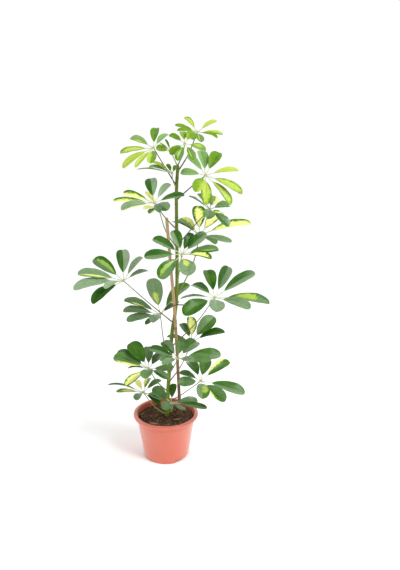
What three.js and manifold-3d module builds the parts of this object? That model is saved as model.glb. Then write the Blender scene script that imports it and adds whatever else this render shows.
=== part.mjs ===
// A variegated umbrella plant (dwarf schefflera) on a bamboo cane, in a plastic nursery pot.
// Millimetres, +Z up. The origin is the centre of the pot's underside, the front faces -Y.
import * as THREE from 'three';
import { mergeVertices } from 'three/addons/utils/BufferGeometryUtils.js';
import Module from 'manifold-3d';

// Pot: a thin moulded shell with a rolled rim and a notched foot.
const POT_HEIGHT = 123;
const POT_RIM_RADIUS = 85;
const POT_BODY_TOP_RADIUS = 77;
const POT_BASE_RADIUS = 58.5;
const POT_WALL = 1.6;
const POT_SIDES = 32;
const RIM_DROP = 7.5;
const SHOULDER_HEIGHT = 98;
const SHOULDER_STEP = 1;
const FOOT_WIDTH = 4;
const FOOT_HEIGHT = 7;
const FLOOR_CENTRE_RADIUS = 34;
const NOTCH_MIDDLES = [68, 248];
const NOTCH_SPAN = 86;
const DRAIN_HOLES = 4;
const DRAIN_RADIUS = 4.5;
const DRAIN_CIRCLE = 43;

// Soil: fills the pot to a little below the rim.
const SOIL_EDGE_HEIGHT = 109;
const SOIL_CROWN = 4;
const SOIL_ROUGHNESS = 1.4;
const SOIL_RINGS = [0, 0.22, 0.45, 0.68, 0.87, 1];

// Clearance between pieces that touch on the real plant, and the finest edge kept where
// pieces of one body are joined.
const GAP = 0.3;
const JOIN_TOLERANCE = 0.2;

// Stem and cane.
const STEM_FOOT_HEIGHT = 55;
const STEM_FOOT_RADIUS = 6;
const STEM_TOP_RADIUS = 4.3;
const STEM_SIDES = 8;
const CANE_FOOT_HEIGHT = 16;
const CANE_RADIUS = 4.5;
const CANE_KNOT_SWELL = 0.7;
const CANE_KNOTS = [0.04, 0.3, 0.55, 0.8];
const CANE_BACK = -11.2;

// Wire tie.
const WIRE_RADIUS = 0.9;
const TIE_TAIL = 19;
const TIE_TWISTS = 2.5;
const STEM_RADIUS_AT_TIE = 4.9;

// Leaf parts.
const STALK_FOOT_RADIUS = 2;
const STALK_TIP_RADIUS = 1.2;
const HUB_RADIUS = 3.1;
const LEAFLET_ROOT = 1.8;
const LEAFLET_FOOT = 1.1;
const LEAFLET_NECK = 2;
const LEAFLET_STALK = 0.23;
const BLADE_THICKNESS = 0.8;
const BLADE_STATIONS = [0, 0.3, 0.62, 0.88, 1];
const SMALL_BLADE_STATIONS = [0, 0.35, 0.78, 1];
const SMALL_BLADE_WIDTH = 24;
const BLADE_TIP_WIDTH = 0.26;
const BLADE_FOLD = 22;
const LIGHT_SIDE = new THREE.Vector3(0.08, -0.42, 0.8);

// Places in the crown are sighted from one station in front of the plant. A sighting is
// [across, down] on a 400 by 570 sighting plate, with its distance behind the pot's centre.
const STATION = new THREE.Vector3(90, -2120, 1247);
const STATION_TILT = THREE.MathUtils.degToRad(19.9);
const PLATE_DISTANCE = 900;
const PLATE_CENTRE = [200, 285];

// Sightings of the stem's middle line from the soil up, and of the cane's.
const STEM_LINE = [
  [167.2, 416], [168.7, 380], [170, 363], [172.2, 331], [174.4, 318],
  [176.5, 299], [177, 259], [176.7, 228], [176.5, 190], [178, 164],
];
const CANE_LINE = [[180.2, 418], [178.2, 374], [174.3, 307], [170.8, 268], [166.6, 218]];
const TIE_SIGHTING = [175.2, 302.5];

// Leaves from the top of the stem down. hub: where the leaflets meet, [across, down, back].
// joint: where the stalk leaves the stem. via: the stalk's middle, [across, down, back].
// reach: hub to tip of a full leaflet. wide: width of a full leaflet. leaflets: the tip's
// [across, down], its lean (1 away from the station, -1 towards it), width share and roll.
const LEAVES = {
  leaf_top_right: {
    hub: [197.4, 131.9, 45], joint: [177.6, 172], via: [188, 155, 20], reach: 64, wide: 18,
    leaflets: [
      [184, 117, 0.6], [217.3, 120.7, 0.5], [223.4, 135, 0], [217.8, 138.5, -0.5],
      [174.4, 125, 0.2], [176.7, 131, -0.5], [192, 140, -0.7, 1.1], [201.2, 142.5, -0.7, 1.15],
    ],
  },
  leaf_top_left: {
    hub: [153.4, 147.8, -10], joint: [176.5, 186], via: [164.6, 166.5, -4], reach: 90, wide: 24,
    leaflets: [
      [129.9, 137.9, 0.4], [156.2, 127.7, 0.8], [167.9, 133.8, 0.6, 0.8], [119.2, 153.2, 0.2],
      [122, 168.7, -0.2], [134.7, 168, -0.6, 0.65], [150.8, 163.9, -0.8],
    ],
  },
  leaf_bud: {
    hub: [171, 151.8, 50], joint: [177.7, 167], via: [174.5, 159.5, 24], reach: 42, wide: 14,
    leaflets: [[155.8, 147.2, 0, 1.3, -45], [165, 139, 0.5, 0.5], [159, 142.5, 0.4, 0.4]],
  },
  leaf_apex: {
    hub: [184.9, 143.4, -45], joint: [178, 165], via: [182.6, 154.5, -25], reach: 56, wide: 22,
    leaflets: [
      [169, 134.7, 0.4, 0.8], [182.1, 131.4, 0.8, 0.8], [169.8, 154.8, -0.2], [177, 161.2, -0.7],
      [193.6, 160.7, -0.6], [206.1, 151.5, -0.2], [193.5, 131.5, 0.6],
    ],
  },
  leaf_young: {
    hub: [172, 173.1, -25], joint: [176.5, 188], via: [172.8, 180, -16], reach: 45, wide: 14,
    leaflets: [
      [166.1, 164.4, -0.2], [176.8, 165.9, -0.2], [148.3, 166.9, 0], [136.3, 169.5, 0, 0.6, 50],
      [152, 162, 0.3, 0.8],
    ],
  },
  leaf_upper_right: {
    hub: [205.7, 175.4, -45], joint: [176.6, 200], via: [191, 187, -22], reach: 98, wide: 30,
    leaflets: [
      [218.7, 151.9, 0.7], [200.1, 150.5, 0.8], [188.2, 156.1, 0.6, 0.7],
      [180.1, 172.3, 0.3, 0.7, -25], [239.4, 170.5, 0.4, 0.65], [242.9, 194.4, -0.1, 0.9],
      [231, 206, -0.2], [205.4, 205.6, -0.7], [194.8, 192.3, -0.8],
    ],
  },
  leaf_upper_left: {
    hub: [154.2, 203, -62], joint: [176.7, 229.5], via: [166, 218.5, -33], reach: 102, wide: 31,
    leaflets: [
      [150.5, 178, 0.7], [170.3, 183.5, 0.5, 0.65], [185.2, 195.3, -0.1, 0.75],
      [168.3, 210.5, -0.5], [122.4, 192.4, 0.4, 0.65], [112.2, 200.7, 0, 0.55],
      [120.1, 209.7, -0.3, 0.85], [160.3, 213, -0.7, 0.6],
    ],
  },
  leaf_strap: {
    hub: [158.5, 208, 48], joint: [176.9, 248], via: [166, 231.5, 22], reach: 70, wide: 20,
    leaflets: [[144.8, 191.5, 0.3, 0.7], [143, 209, -0.2], [149, 214, -0.4]],
  },
  leaf_right_of_stem: {
    hub: [209.6, 209.1, -30], joint: [176.9, 246], via: [194.3, 225.7, -16], reach: 82, wide: 31,
    leaflets: [
      [188.2, 196.1, 0.3, 0.6, 50], [213.8, 195.8, 0.8], [229.6, 205.6, 0.5, 0.9],
      [229.4, 227, -0.4, 0.85], [207.5, 219.5, -0.9], [197.3, 193.7, 0.6, 0.5],
    ],
  },
  leaf_yellow: {
    hub: [199.5, 235, 55], joint: [176.7, 297], via: [193.5, 262, 34], reach: 134, wide: 36,
    leaflets: [
      [198, 205.3, 0.4], [222.2, 211.9, 0.4], [252.4, 223.5, 0.1, 0.9],
      [232.7, 241.8, -0.3, 0.45, 30], [179.7, 218.2, 0.4, 0.8], [172.5, 222, 0.6, 0.8],
      [216.4, 244.5, -0.3, 0.75],
    ],
  },
  leaf_front: {
    hub: [181.9, 254.5, -80], joint: [176.6, 288], via: [179.5, 270, -42], reach: 100, wide: 41,
    leaflets: [
      [152.1, 238.4, 0.3, 0.7], [172.9, 229.9, 0.2, 0.75], [192.3, 232.7, 0.2, 0.6],
      [206.7, 232.7, 0.2, 0.7], [219.6, 249.8, 0, 0.7], [212.4, 258.9, -0.4, 0.6],
      [188.6, 276.5, -0.7, 1.05], [158.8, 279.1, -0.4, 0.9], [143.3, 256.9, 0, 0.75],
    ],
  },
  leaf_far_left: {
    hub: [123.5, 280.8, -50], joint: [173.5, 323], via: [148, 302.2, -22], reach: 132, wide: 42,
    leaflets: [
      [93.2, 258.5, 0.4, 0.85], [122.2, 249.2, 0.7, 0.85], [142.3, 256.5, 0.6, 0.45],
      [149, 270.9, 0.5, 0.5], [76.5, 273.2, 0.2, 0.7], [72.1, 289.4, -0.1, 0.85],
      [91.9, 304.7, -0.4, 0.9], [104.6, 289.1, -0.7, 0.55],
    ],
  },
  leaf_left_of_stem: {
    hub: [160.3, 314.2, 60], joint: [168.8, 378], via: [163.4, 340, 34], reach: 112, wide: 44,
    leaflets: [
      [151, 277.7, 0.3], [123, 300, 0.2, 0.8], [122.1, 311.3, -0.1, 0.7],
      [125.8, 321.1, -0.3, 0.65], [152.8, 323.1, -0.7, 0.75], [145.1, 324.8, -0.5, 0.35],
      [190.4, 284, 0.4, 0.95], [177, 304, 0.6, 0.5],
    ],
  },
  leaf_far_right: {
    hub: [214.8, 297.7, -50], joint: [171.3, 347], via: [196, 323, -22], reach: 143, wide: 42,
    leaflets: [
      [206.7, 269.7, 0.5, 0.85], [228.7, 266.1, 0.6, 0.8], [255.8, 272, 0.3, 0.75],
      [270.9, 303.9, 0, 0.9], [251.4, 308.7, -0.4, 0.75], [216.2, 312.5, -0.8, 0.95],
      [182.5, 315.2, -0.4], [191.6, 284.5, 0.4, 0.75], [179.5, 299.2, -0.1, 0.55, 60],
    ],
  },
  leaf_behind: {
    hub: [191.8, 341.5, 70], joint: [168.6, 383], via: [181.5, 364.9, 34], reach: 100, wide: 38,
    leaflets: [
      [180.6, 323.2, 0.4, 0.7], [190, 316.1, 0.4, 0.8], [215, 316.3, 0.3, 1.1],
      [225.8, 332.1, 0, 0.9], [166.3, 336.8, 0.2, 0.6], [176, 341.5, -0.1, 0.5],
    ],
  },
  leaf_over_cane: {
    hub: [178.1, 358.6, -82], joint: [169.4, 374], via: [173.6, 367, -40], reach: 114, wide: 38,
    leaflets: [
      [162.4, 341.4, 0.4, 0.75], [180.3, 340.7, 0.2, 0.6], [197.2, 341.1, 0.5],
      [221.9, 354.8, 0.1], [211.9, 359.6, -0.3, 0.8], [194, 361.8, -0.6, 0.6],
      [148.8, 348.2, 0.3, 0.65], [159.1, 360.3, -0.3, 0.55], [161.5, 364.5, -0.6, 0.5],
    ],
  },
  leaf_lower_left: {
    hub: [148.8, 368.9, -52], joint: [168.2, 392], via: [157, 381.5, -30], reach: 102, wide: 44,
    leaflets: [
      [129.3, 342.7, 0.3], [112.6, 357.1, 0.1, 0.95], [116.6, 351.6, 0.5, 0.7],
      [127.3, 368.5, 0, 0.4, 60], [147.6, 346.2, 0.6, 0.6], [162.6, 353.4, 0.5, 0.6],
      [174.1, 366.3, -0.25, 0.4, 50], [168.3, 379.2, -0.4, 0.5], [145.4, 379, -0.8, 0.75],
      [124.6, 385.8, -0.3, 0.55],
    ],
  },
  leaf_lower_right: {
    hub: [201, 380.9, -62], joint: [167.9, 402], via: [182.5, 394, -36], reach: 122, wide: 40,
    leaflets: [
      [188.3, 361.8, 0.6, 0.8], [205.5, 359.1, 0.7, 0.9], [229.8, 360.8, 0.4, 0.75],
      [245.7, 394, 0, 0.95], [225.3, 402.3, -0.3, 0.95], [202, 399.4, -0.7, 0.9],
      [178.1, 383.8, -0.3, 0.8], [179, 372.6, 0.1, 0.6],
    ],
  },
  leaf_low_left: {
    hub: [143.3, 392.4, 10], joint: [167, 415], via: [154.5, 406.5, 2], reach: 96, wide: 28,
    leaflets: [
      [136.7, 380.3, 0.5, 0.6], [150.2, 377.8, 0.6, 0.7], [160.9, 379.5, 0.6, 0.7],
      [107.2, 384.8, 0.1, 0.5, 25], [115.6, 391.7, -0.1, 0.6, 0], [136.7, 400.6, -0.7, 0.85],
      [162, 399, 0, 0.8], [159.7, 404.2, -0.1, 0.7],
    ],
  },
  leaf_low_front: {
    hub: [171.2, 402.5, -55], joint: [167.4, 413], via: [172.6, 409, -28], reach: 98, wide: 34,
    leaflets: [
      [151.7, 388.4, -0.1], [174.1, 383.2, 0.3, 0.6], [163.4, 410, -0.7],
      [186.4, 409, -0.5, 0.3, 50], [198.2, 400.7, 0.2, 0.65], [207.9, 408.2, -0.1, 0.55],
    ],
  },
};

const wasm = await Module();
wasm.setup();

const POT_ORANGE = new THREE.MeshStandardMaterial({ color: 0xd9714f, roughness: 0.55 });
const PEAT = new THREE.MeshStandardMaterial({ color: 0x3a2a20, roughness: 1 });
const STEM_GREEN = new THREE.MeshStandardMaterial({ color: 0x8f9a3a, roughness: 0.6 });
const BAMBOO = new THREE.MeshStandardMaterial({ color: 0xb98d5e, roughness: 0.6 });
const BLACK_WIRE = new THREE.MeshStandardMaterial({ color: 0x1c1c1c, roughness: 0.5 });
const LEAF_GREEN = new THREE.MeshStandardMaterial({ color: 0x3f6b3a, roughness: 0.4 });

// A repeatable run of random numbers between 0 and 1.
function randomRun(seed) {
  let state = seed;
  return () => {
    state = (state * 1664525 + 1013904223) % 4294967296;
    return state / 4294967296;
  };
}

// The same shape with its shared corners merged, so that its mesh is closed.
function mergedShape(geometry) {
  const bare = geometry.clone();
  bare.deleteAttribute('normal');
  bare.deleteAttribute('uv');
  return mergeVertices(bare, 1e-4);
}

function solidFrom(geometry) {
  const merged = mergedShape(geometry);
  const mesh = new wasm.Mesh({
    numProp: 3,
    vertProperties: new Float32Array(merged.attributes.position.array),
    triVerts: new Uint32Array(merged.index.array),
  });
  return new wasm.Manifold(mesh);
}

function geometryFrom(solid) {
  const mesh = solid.getMesh();
  const geometry = new THREE.BufferGeometry();
  geometry.setAttribute('position', new THREE.BufferAttribute(mesh.vertProperties, 3));
  geometry.setIndex(new THREE.BufferAttribute(mesh.triVerts, 1));
  return geometry;
}

function closedMesh(points, faces) {
  const geometry = new THREE.BufferGeometry();
  const places = points.flatMap((point) => point.toArray());
  geometry.setAttribute('position', new THREE.Float32BufferAttribute(places, 3));
  geometry.setIndex(faces.flat());
  return geometry;
}

function unionOf(solids) {
  return solids.reduce((whole, solid) => whole.add(solid));
}

// The point seen at a sighting, at a distance behind the pot's centre.
function sightRay(across, down) {
  const right = new THREE.Vector3(1, 0, 0);
  const ahead = new THREE.Vector3(0, Math.cos(STATION_TILT), -Math.sin(STATION_TILT));
  const up = new THREE.Vector3().crossVectors(right, ahead);
  return ahead
    .addScaledVector(right, (across - PLATE_CENTRE[0]) / PLATE_DISTANCE)
    .addScaledVector(up, (PLATE_CENTRE[1] - down) / PLATE_DISTANCE);
}

function sighted([across, down, back = 0]) {
  const ray = sightRay(across, down);
  return STATION.clone().addScaledVector(ray, (back - STATION.y) / ray.y);
}

// The tip of a leaflet: on its sight line, as far from the hub as the reach and lean allow.
function tipFor(hub, across, down, lean, reach) {
  const ray = sightRay(across, down).normalize();
  const nearest = ray.dot(hub.clone().sub(STATION));
  const beside = STATION.clone().addScaledVector(ray, nearest);
  const spare = Math.max(reach ** 2 - beside.distanceToSquared(hub), 0);
  return beside.addScaledVector(ray, lean * Math.sqrt(spare));
}

// A solid round bar through the points, with a radius at each.
function bar(points, radii, sides) {
  const curve = new THREE.CatmullRomCurve3(points);
  const frames = curve.computeFrenetFrames(points.length - 1);
  const rim = [];
  points.forEach((point, i) => {
    const along = curve.getTangent(i / (points.length - 1));
    const normal = frames.normals[i];
    const side = normal.clone().addScaledVector(along, -normal.dot(along)).normalize();
    const over = new THREE.Vector3().crossVectors(along, side);
    for (let k = 0; k < sides; k++) {
      const turn = (2 * Math.PI * k) / sides;
      rim.push(point.clone()
        .addScaledVector(side, radii[i] * Math.cos(turn))
        .addScaledVector(over, radii[i] * Math.sin(turn)));
    }
  });
  const faces = [];
  const last = (points.length - 1) * sides;
  for (let k = 0; k < sides; k++) {
    const next = (k + 1) % sides;
    for (let row = 0; row < last; row += sides) {
      const above = row + sides;
      faces.push([row + k, row + next, above + next], [row + k, above + next, above + k]);
    }
    if (k > 0 && k < sides - 1) {
      faces.push([0, k + 1, k], [last, last + k, last + k + 1]);
    }
  }
  return solidFrom(closedMesh(rim, faces));
}

// Share of full width along a blade: a wedge base, widest past the middle, a blunt tip.
function bladeShare(along) {
  const widest = 0.64;
  const shape = (t) => t ** 0.75 * (1 - t) ** 0.42;
  return Math.max(shape(along) / shape(widest), along > widest ? BLADE_TIP_WIDTH : 0);
}

// One leaflet: a small stalk, then a thin blade folded along its midrib and arched.
function leaflet(hub, tip, face, width, arch, fold) {
  const chord = tip.clone().sub(hub);
  const along = chord.clone().normalize();
  const root = hub.clone().addScaledVector(along, LEAFLET_ROOT);
  const length = chord.length() - LEAFLET_ROOT;
  const across = new THREE.Vector3().crossVectors(along, face);
  const bladeStations = width < SMALL_BLADE_WIDTH ? SMALL_BLADE_STATIONS : BLADE_STATIONS;
  const stations = [0, ...bladeStations.map((t) => LEAFLET_STALK + (1 - LEAFLET_STALK) * t)];
  const rings = stations.map((share, i) => {
    const blade = i > 0 ? bladeShare(bladeStations[i - 1]) : 0;
    const half = Math.max(blade * width / 2, i === 0 ? LEAFLET_FOOT / 2 : LEAFLET_NECK / 2);
    const thick = [LEAFLET_FOOT, LEAFLET_NECK][i] ?? BLADE_THICKNESS;
    const lift = arch * length * 4 * share * (1 - share) * (0.7 + 0.6 * share);
    const middle = root.clone().addScaledVector(along, length * share).addScaledVector(face, lift);
    return [-1, 0, 1].map((side) => middle.clone()
      .addScaledVector(across, side * half * Math.cos(fold))
      .addScaledVector(face, Math.abs(side) * half * Math.sin(fold) + thick / 2))
      .flatMap((top) => [top, top.clone().addScaledVector(face, -thick)]);
  });
  const faces = [];
  const quad = (a, b, c, d) => faces.push([a, b, c], [a, c, d]);
  for (let i = 0; i < rings.length - 1; i++) {
    const near = 6 * i;
    const far = near + 6;
    for (const j of [0, 2]) {
      quad(near + j, near + j + 2, far + j + 2, far + j);
      faces.push([near + j + 1, far + j + 3, near + j + 3], [near + j + 1, far + j + 1, far + j + 3]);
    }
    quad(near + 1, near, far, far + 1);
    quad(near + 4, near + 5, far + 5, far + 4);
  }
  const end = 6 * (rings.length - 1);
  quad(0, 1, 3, 2);
  quad(2, 3, 5, 4);
  quad(end + 1, end, end + 2, end + 3);
  quad(end + 3, end + 2, end + 4, end + 5);
  return solidFrom(closedMesh(rings.flat(), faces));
}

// A compound leaf: stalk, hub and leaflets grown as one piece, cut clear of the stem.
function leafSolid(leaf, stemClearance, random) {
  const hub = sighted(leaf.hub);
  const route = new THREE.CatmullRomCurve3([sighted(leaf.joint), sighted(leaf.via), hub]);
  const steps = 5;
  const radii = Array.from({ length: steps + 1 }, (_, i) => (
    STALK_TIP_RADIUS + (STALK_FOOT_RADIUS - STALK_TIP_RADIUS) * (1 - i / steps) ** 2));
  const stalk = bar(route.getPoints(steps), radii, 5);
  const knob = solidFrom(new THREE.IcosahedronGeometry(HUB_RADIUS, 0).translate(...hub.toArray()));
  const rise = LIGHT_SIDE.clone().addScaledVector(route.getTangent(1), 0.3).normalize();
  const blades = leaf.leaflets.map(([across, down, lean, share = 1, roll = 0]) => {
    const tip = tipFor(hub, across, down, lean, leaf.reach);
    const along = tip.clone().sub(hub).normalize();
    const face = rise.clone().addScaledVector(along, -rise.dot(along)).normalize();
    face.applyAxisAngle(along, THREE.MathUtils.degToRad(roll + 16 * (random() - 0.5)));
    const arch = 0.04 + 0.05 * random();
    const fold = THREE.MathUtils.degToRad(BLADE_FOLD * (0.7 + 0.6 * random()));
    return leaflet(hub, tip, face, leaf.wide * share, arch, fold);
  });
  const whole = unionOf([stalk, knob, ...blades]);
  return whole.subtract(stemClearance).simplify(JOIN_TOLERANCE);
}

// Outer radius of the pot's wall at a height.
function wallRadius(height) {
  return POT_BASE_RADIUS + (POT_BODY_TOP_RADIUS - POT_BASE_RADIUS) * (height / (POT_HEIGHT - 3));
}

function potSolid() {
  const lip = POT_RIM_RADIUS - POT_WALL;
  const under = POT_HEIGHT - POT_WALL - 1;
  const floor = FOOT_HEIGHT + POT_WALL;
  const inner = (height) => wallRadius(height) - POT_WALL;
  const profile = [
    [0, 0], [FLOOR_CENTRE_RADIUS, 0], [FLOOR_CENTRE_RADIUS + 1.5, FOOT_HEIGHT],
    [POT_BASE_RADIUS - FOOT_WIDTH - 1, FOOT_HEIGHT], [POT_BASE_RADIUS - FOOT_WIDTH, 0],
    [POT_BASE_RADIUS - 1, 0], [wallRadius(1.5), 1.5],
    [wallRadius(SHOULDER_HEIGHT), SHOULDER_HEIGHT],
    [wallRadius(SHOULDER_HEIGHT) + SHOULDER_STEP, SHOULDER_HEIGHT + 2],
    [wallRadius(under) + SHOULDER_STEP / 2, under - 1], [wallRadius(under) + 2, under],
    [lip - 1.5, under], [lip, under - 1.5], [lip, POT_HEIGHT - RIM_DROP],
    [POT_RIM_RADIUS, POT_HEIGHT - RIM_DROP], [POT_RIM_RADIUS, POT_HEIGHT - 2.5],
    [POT_RIM_RADIUS - 0.8, POT_HEIGHT - 0.7], [POT_RIM_RADIUS - 2.5, POT_HEIGHT],
    [inner(POT_HEIGHT) + 2, POT_HEIGHT], [inner(POT_HEIGHT) + 0.5, POT_HEIGHT - 0.7],
    [inner(POT_HEIGHT - 3), POT_HEIGHT - 3], [inner(floor), floor],
    [FLOOR_CENTRE_RADIUS - 0.2, floor], [FLOOR_CENTRE_RADIUS - POT_WALL, POT_WALL], [0, POT_WALL],
  ];
  const points = profile.map(([radius, height]) => new THREE.Vector2(radius, height));
  const shell = solidFrom(new THREE.LatheGeometry(points, POT_SIDES).rotateX(Math.PI / 2));
  const notches = NOTCH_MIDDLES.map((middle) => {
    const wedge = new THREE.Shape();
    const turn = (degrees) => THREE.MathUtils.degToRad(degrees - 90);
    const [from, to] = [turn(middle - NOTCH_SPAN / 2), turn(middle + NOTCH_SPAN / 2)];
    wedge.absarc(0, 0, POT_BASE_RADIUS + 3, from, to);
    wedge.absarc(0, 0, POT_BASE_RADIUS - FOOT_WIDTH - 2, to, from, true);
    const cut = new THREE.ExtrudeGeometry(wedge, {
      depth: FOOT_HEIGHT + 1, bevelEnabled: false, curveSegments: 10,
    });
    return solidFrom(cut.translate(0, 0, -1));
  });
  const drains = Array.from({ length: DRAIN_HOLES }, (_, i) => {
    const turn = (2 * Math.PI * i) / DRAIN_HOLES;
    const hole = new THREE.CylinderGeometry(DRAIN_RADIUS, DRAIN_RADIUS, 3 * floor, 8);
    hole.rotateX(Math.PI / 2);
    hole.translate(DRAIN_CIRCLE * Math.cos(turn), DRAIN_CIRCLE * Math.sin(turn), 0);
    return solidFrom(hole);
  });
  return shell.subtract(unionOf([...notches, ...drains]));
}

function soilSolid(random) {
  const inner = (height) => wallRadius(height) - POT_WALL - GAP;
  const floor = FOOT_HEIGHT + POT_WALL + GAP;
  const foot = [
    [0, POT_WALL + GAP], [FLOOR_CENTRE_RADIUS - POT_WALL - GAP, POT_WALL + GAP],
    [FLOOR_CENTRE_RADIUS - 0.2 - GAP, floor], [inner(floor), floor],
  ];
  const top = [...SOIL_RINGS].reverse().map((share) => (
    [share * inner(SOIL_EDGE_HEIGHT), SOIL_EDGE_HEIGHT + SOIL_CROWN * (1 - share ** 2)]));
  const profile = [...foot, ...top].map(([radius, height]) => new THREE.Vector2(radius, height));
  const merged = mergedShape(new THREE.LatheGeometry(profile, POT_SIDES).rotateX(Math.PI / 2));
  const places = merged.attributes.position;
  for (let i = 0; i < places.count; i++) {
    const fromAxis = Math.hypot(places.getX(i), places.getY(i));
    const inside = fromAxis < 0.95 * inner(SOIL_EDGE_HEIGHT);
    if (places.getZ(i) > SOIL_EDGE_HEIGHT && inside) {
      places.setZ(i, places.getZ(i) + SOIL_ROUGHNESS * (2 * random() - 1));
    }
  }
  return solidFrom(merged);
}

function stemPoints() {
  const above = STEM_LINE.map(sighted);
  const foot = above[0].clone().setZ(STEM_FOOT_HEIGHT);
  return new THREE.CatmullRomCurve3([foot, ...above]).getPoints(15);
}

function stemSolid(extra) {
  const points = stemPoints();
  const radii = points.map((_, i) => (
    STEM_FOOT_RADIUS + (STEM_TOP_RADIUS - STEM_FOOT_RADIUS) * (i / (points.length - 1)) ** 0.9 + extra));
  return bar(points, radii, STEM_SIDES);
}

function canePoints() {
  const above = CANE_LINE.map(([across, down]) => sighted([across, down, CANE_BACK]));
  const slope = above[0].clone().sub(above[1]);
  const foot = above[0].clone().addScaledVector(slope, (above[0].z - CANE_FOOT_HEIGHT) / -slope.z);
  return new THREE.CatmullRomCurve3([foot, ...above]);
}

function caneSolid(extra) {
  const knotHalf = 0.006;
  const shares = [0, ...CANE_KNOTS.flatMap((knot) => [knot - knotHalf, knot, knot + knotHalf]), 1];
  const radii = shares.map((share) => (
    CANE_RADIUS + extra + (CANE_KNOTS.includes(share) ? CANE_KNOT_SWELL : 0) - 0.5 * share));
  const route = canePoints();
  return bar(shares.map((share) => route.getPoint(share)), radii, STEM_SIDES);
}

// The point of a line at a height.
function atHeight(curve, height) {
  const points = curve.getPoints(400);
  return points.reduce((best, point) => (
    Math.abs(point.z - height) < Math.abs(best.z - height) ? point : best));
}

// The wire's section, a small regular polygon.
function wireSection() {
  const section = new THREE.Shape();
  for (let k = 0; k < 5; k++) {
    const turn = (2 * Math.PI * k) / 5;
    const [x, y] = [WIRE_RADIUS * Math.cos(turn), WIRE_RADIUS * Math.sin(turn)];
    if (k === 0) {
      section.moveTo(x, y);
    } else {
      section.lineTo(x, y);
    }
  }
  section.closePath();
  return section;
}

// A wire loop round the stem and the cane, with its two ends twisted together.
function tieSolid() {
  const height = sighted(TIE_SIGHTING).z;
  const stem = atHeight(new THREE.CatmullRomCurve3(stemPoints()), height);
  const cane = atHeight(canePoints(), height);
  const standOff = 1 + WIRE_RADIUS + GAP;
  const stemRadius = STEM_RADIUS_AT_TIE + standOff;
  const caneRadius = CANE_RADIUS + standOff;
  const line = Math.atan2(cane.y - stem.y, cane.x - stem.x);
  const halfTurn = (middle, radius, start, level) => Array.from({ length: 8 }, (_, i) => {
    const turn = start + (Math.PI * i) / 7;
    return new THREE.Vector3(
      middle.x + radius * Math.cos(turn), middle.y + radius * Math.sin(turn), level);
  });
  const roundCane = halfTurn(cane, caneRadius, line - Math.PI / 2, height - 1);
  const roundStem = halfTurn(stem, stemRadius, line + Math.PI / 2, height + 1);
  const loop = [...roundCane, ...roundStem];
  const ring = new THREE.ExtrudeGeometry(wireSection(), {
    steps: 18, extrudePath: new THREE.CatmullRomCurve3(loop, true), bevelEnabled: false,
  });
  const parts = [solidFrom(ring)];
  for (const phase of [0, Math.PI]) {
    const strand = Array.from({ length: 9 }, (_, i) => {
      const share = i / 8;
      const turn = phase + 2 * Math.PI * TIE_TWISTS * share;
      const sway = -1.5 - 2 * share + WIRE_RADIUS * Math.cos(turn);
      const rise = 1 + WIRE_RADIUS * Math.sin(turn);
      return roundCane[7].clone().add(new THREE.Vector3(TIE_TAIL * share, sway, rise));
    });
    parts.push(bar(strand, strand.map(() => WIRE_RADIUS), 4));
  }
  return unionOf(parts);
}

const plant = new THREE.Group();

function addPiece(name, solid, material) {
  const mesh = new THREE.Mesh(geometryFrom(solid), material);
  mesh.name = name;
  plant.add(mesh);
}

const stemClearance = stemSolid(GAP);
const stickHoles = stemClearance.add(caneSolid(GAP));
addPiece('pot', potSolid(), POT_ORANGE);
addPiece('soil', soilSolid(randomRun(11)).subtract(stickHoles), PEAT);
addPiece('stem', stemSolid(0), STEM_GREEN);
addPiece('cane', caneSolid(0), BAMBOO);
addPiece('wire_tie', tieSolid(), BLACK_WIRE);
Object.entries(LEAVES).forEach(([name, leaf], i) => {
  addPiece(name, leafSolid(leaf, stemClearance, randomRun(101 + i)), LEAF_GREEN);
});

export default plant;
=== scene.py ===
import math
import random

import bpy
import numpy
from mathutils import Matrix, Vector, noise


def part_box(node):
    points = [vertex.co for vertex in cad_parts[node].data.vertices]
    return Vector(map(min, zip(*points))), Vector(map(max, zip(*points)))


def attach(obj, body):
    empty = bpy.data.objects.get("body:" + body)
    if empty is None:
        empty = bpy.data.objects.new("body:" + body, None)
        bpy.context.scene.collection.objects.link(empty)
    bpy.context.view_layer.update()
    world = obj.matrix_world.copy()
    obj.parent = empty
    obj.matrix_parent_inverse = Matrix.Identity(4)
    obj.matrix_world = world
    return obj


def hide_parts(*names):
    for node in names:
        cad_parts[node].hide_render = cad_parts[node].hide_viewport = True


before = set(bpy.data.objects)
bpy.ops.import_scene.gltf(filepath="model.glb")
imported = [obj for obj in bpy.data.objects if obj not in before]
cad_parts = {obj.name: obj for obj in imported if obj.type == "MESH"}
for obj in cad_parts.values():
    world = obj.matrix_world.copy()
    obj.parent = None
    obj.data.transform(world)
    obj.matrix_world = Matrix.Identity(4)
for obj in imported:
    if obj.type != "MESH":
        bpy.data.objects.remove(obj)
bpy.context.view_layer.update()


# ---------------------------------------------------------------- station and camera
# The crown is laid out from one station in front of the plant. A sighting is [across, down]
# on a plate 400 wide and 570 high, with its distance behind the pot's middle. The camera
# stands at the same station.
STATION = Vector((0.090, -2.120, 1.247))
STATION_TILT = math.radians(19.9)
PLATE_DISTANCE = 900
PLATE_SIZE = (400, 570)
SENSOR = 36


def sight_ray(across, down):
    ahead = Vector((0, math.cos(STATION_TILT), -math.sin(STATION_TILT)))
    right = Vector((1, 0, 0))
    side = (across - PLATE_SIZE[0] / 2) / PLATE_DISTANCE
    rise = (PLATE_SIZE[1] / 2 - down) / PLATE_DISTANCE
    return ahead + right * side + right.cross(ahead) * rise


def sighted(across, down, back=0):
    ray = sight_ray(across, down)
    return STATION + ray * ((back / 1000 - STATION.y) / ray.y)


bpy.ops.object.camera_add(location=STATION, rotation=(math.pi / 2 - STATION_TILT, 0, 0))
camera = bpy.context.object
camera.data.sensor_width = SENSOR
camera.data.lens = PLATE_DISTANCE / PLATE_SIZE[1] * SENSOR
camera.data.clip_end = 50
bpy.context.scene.camera = camera


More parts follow.
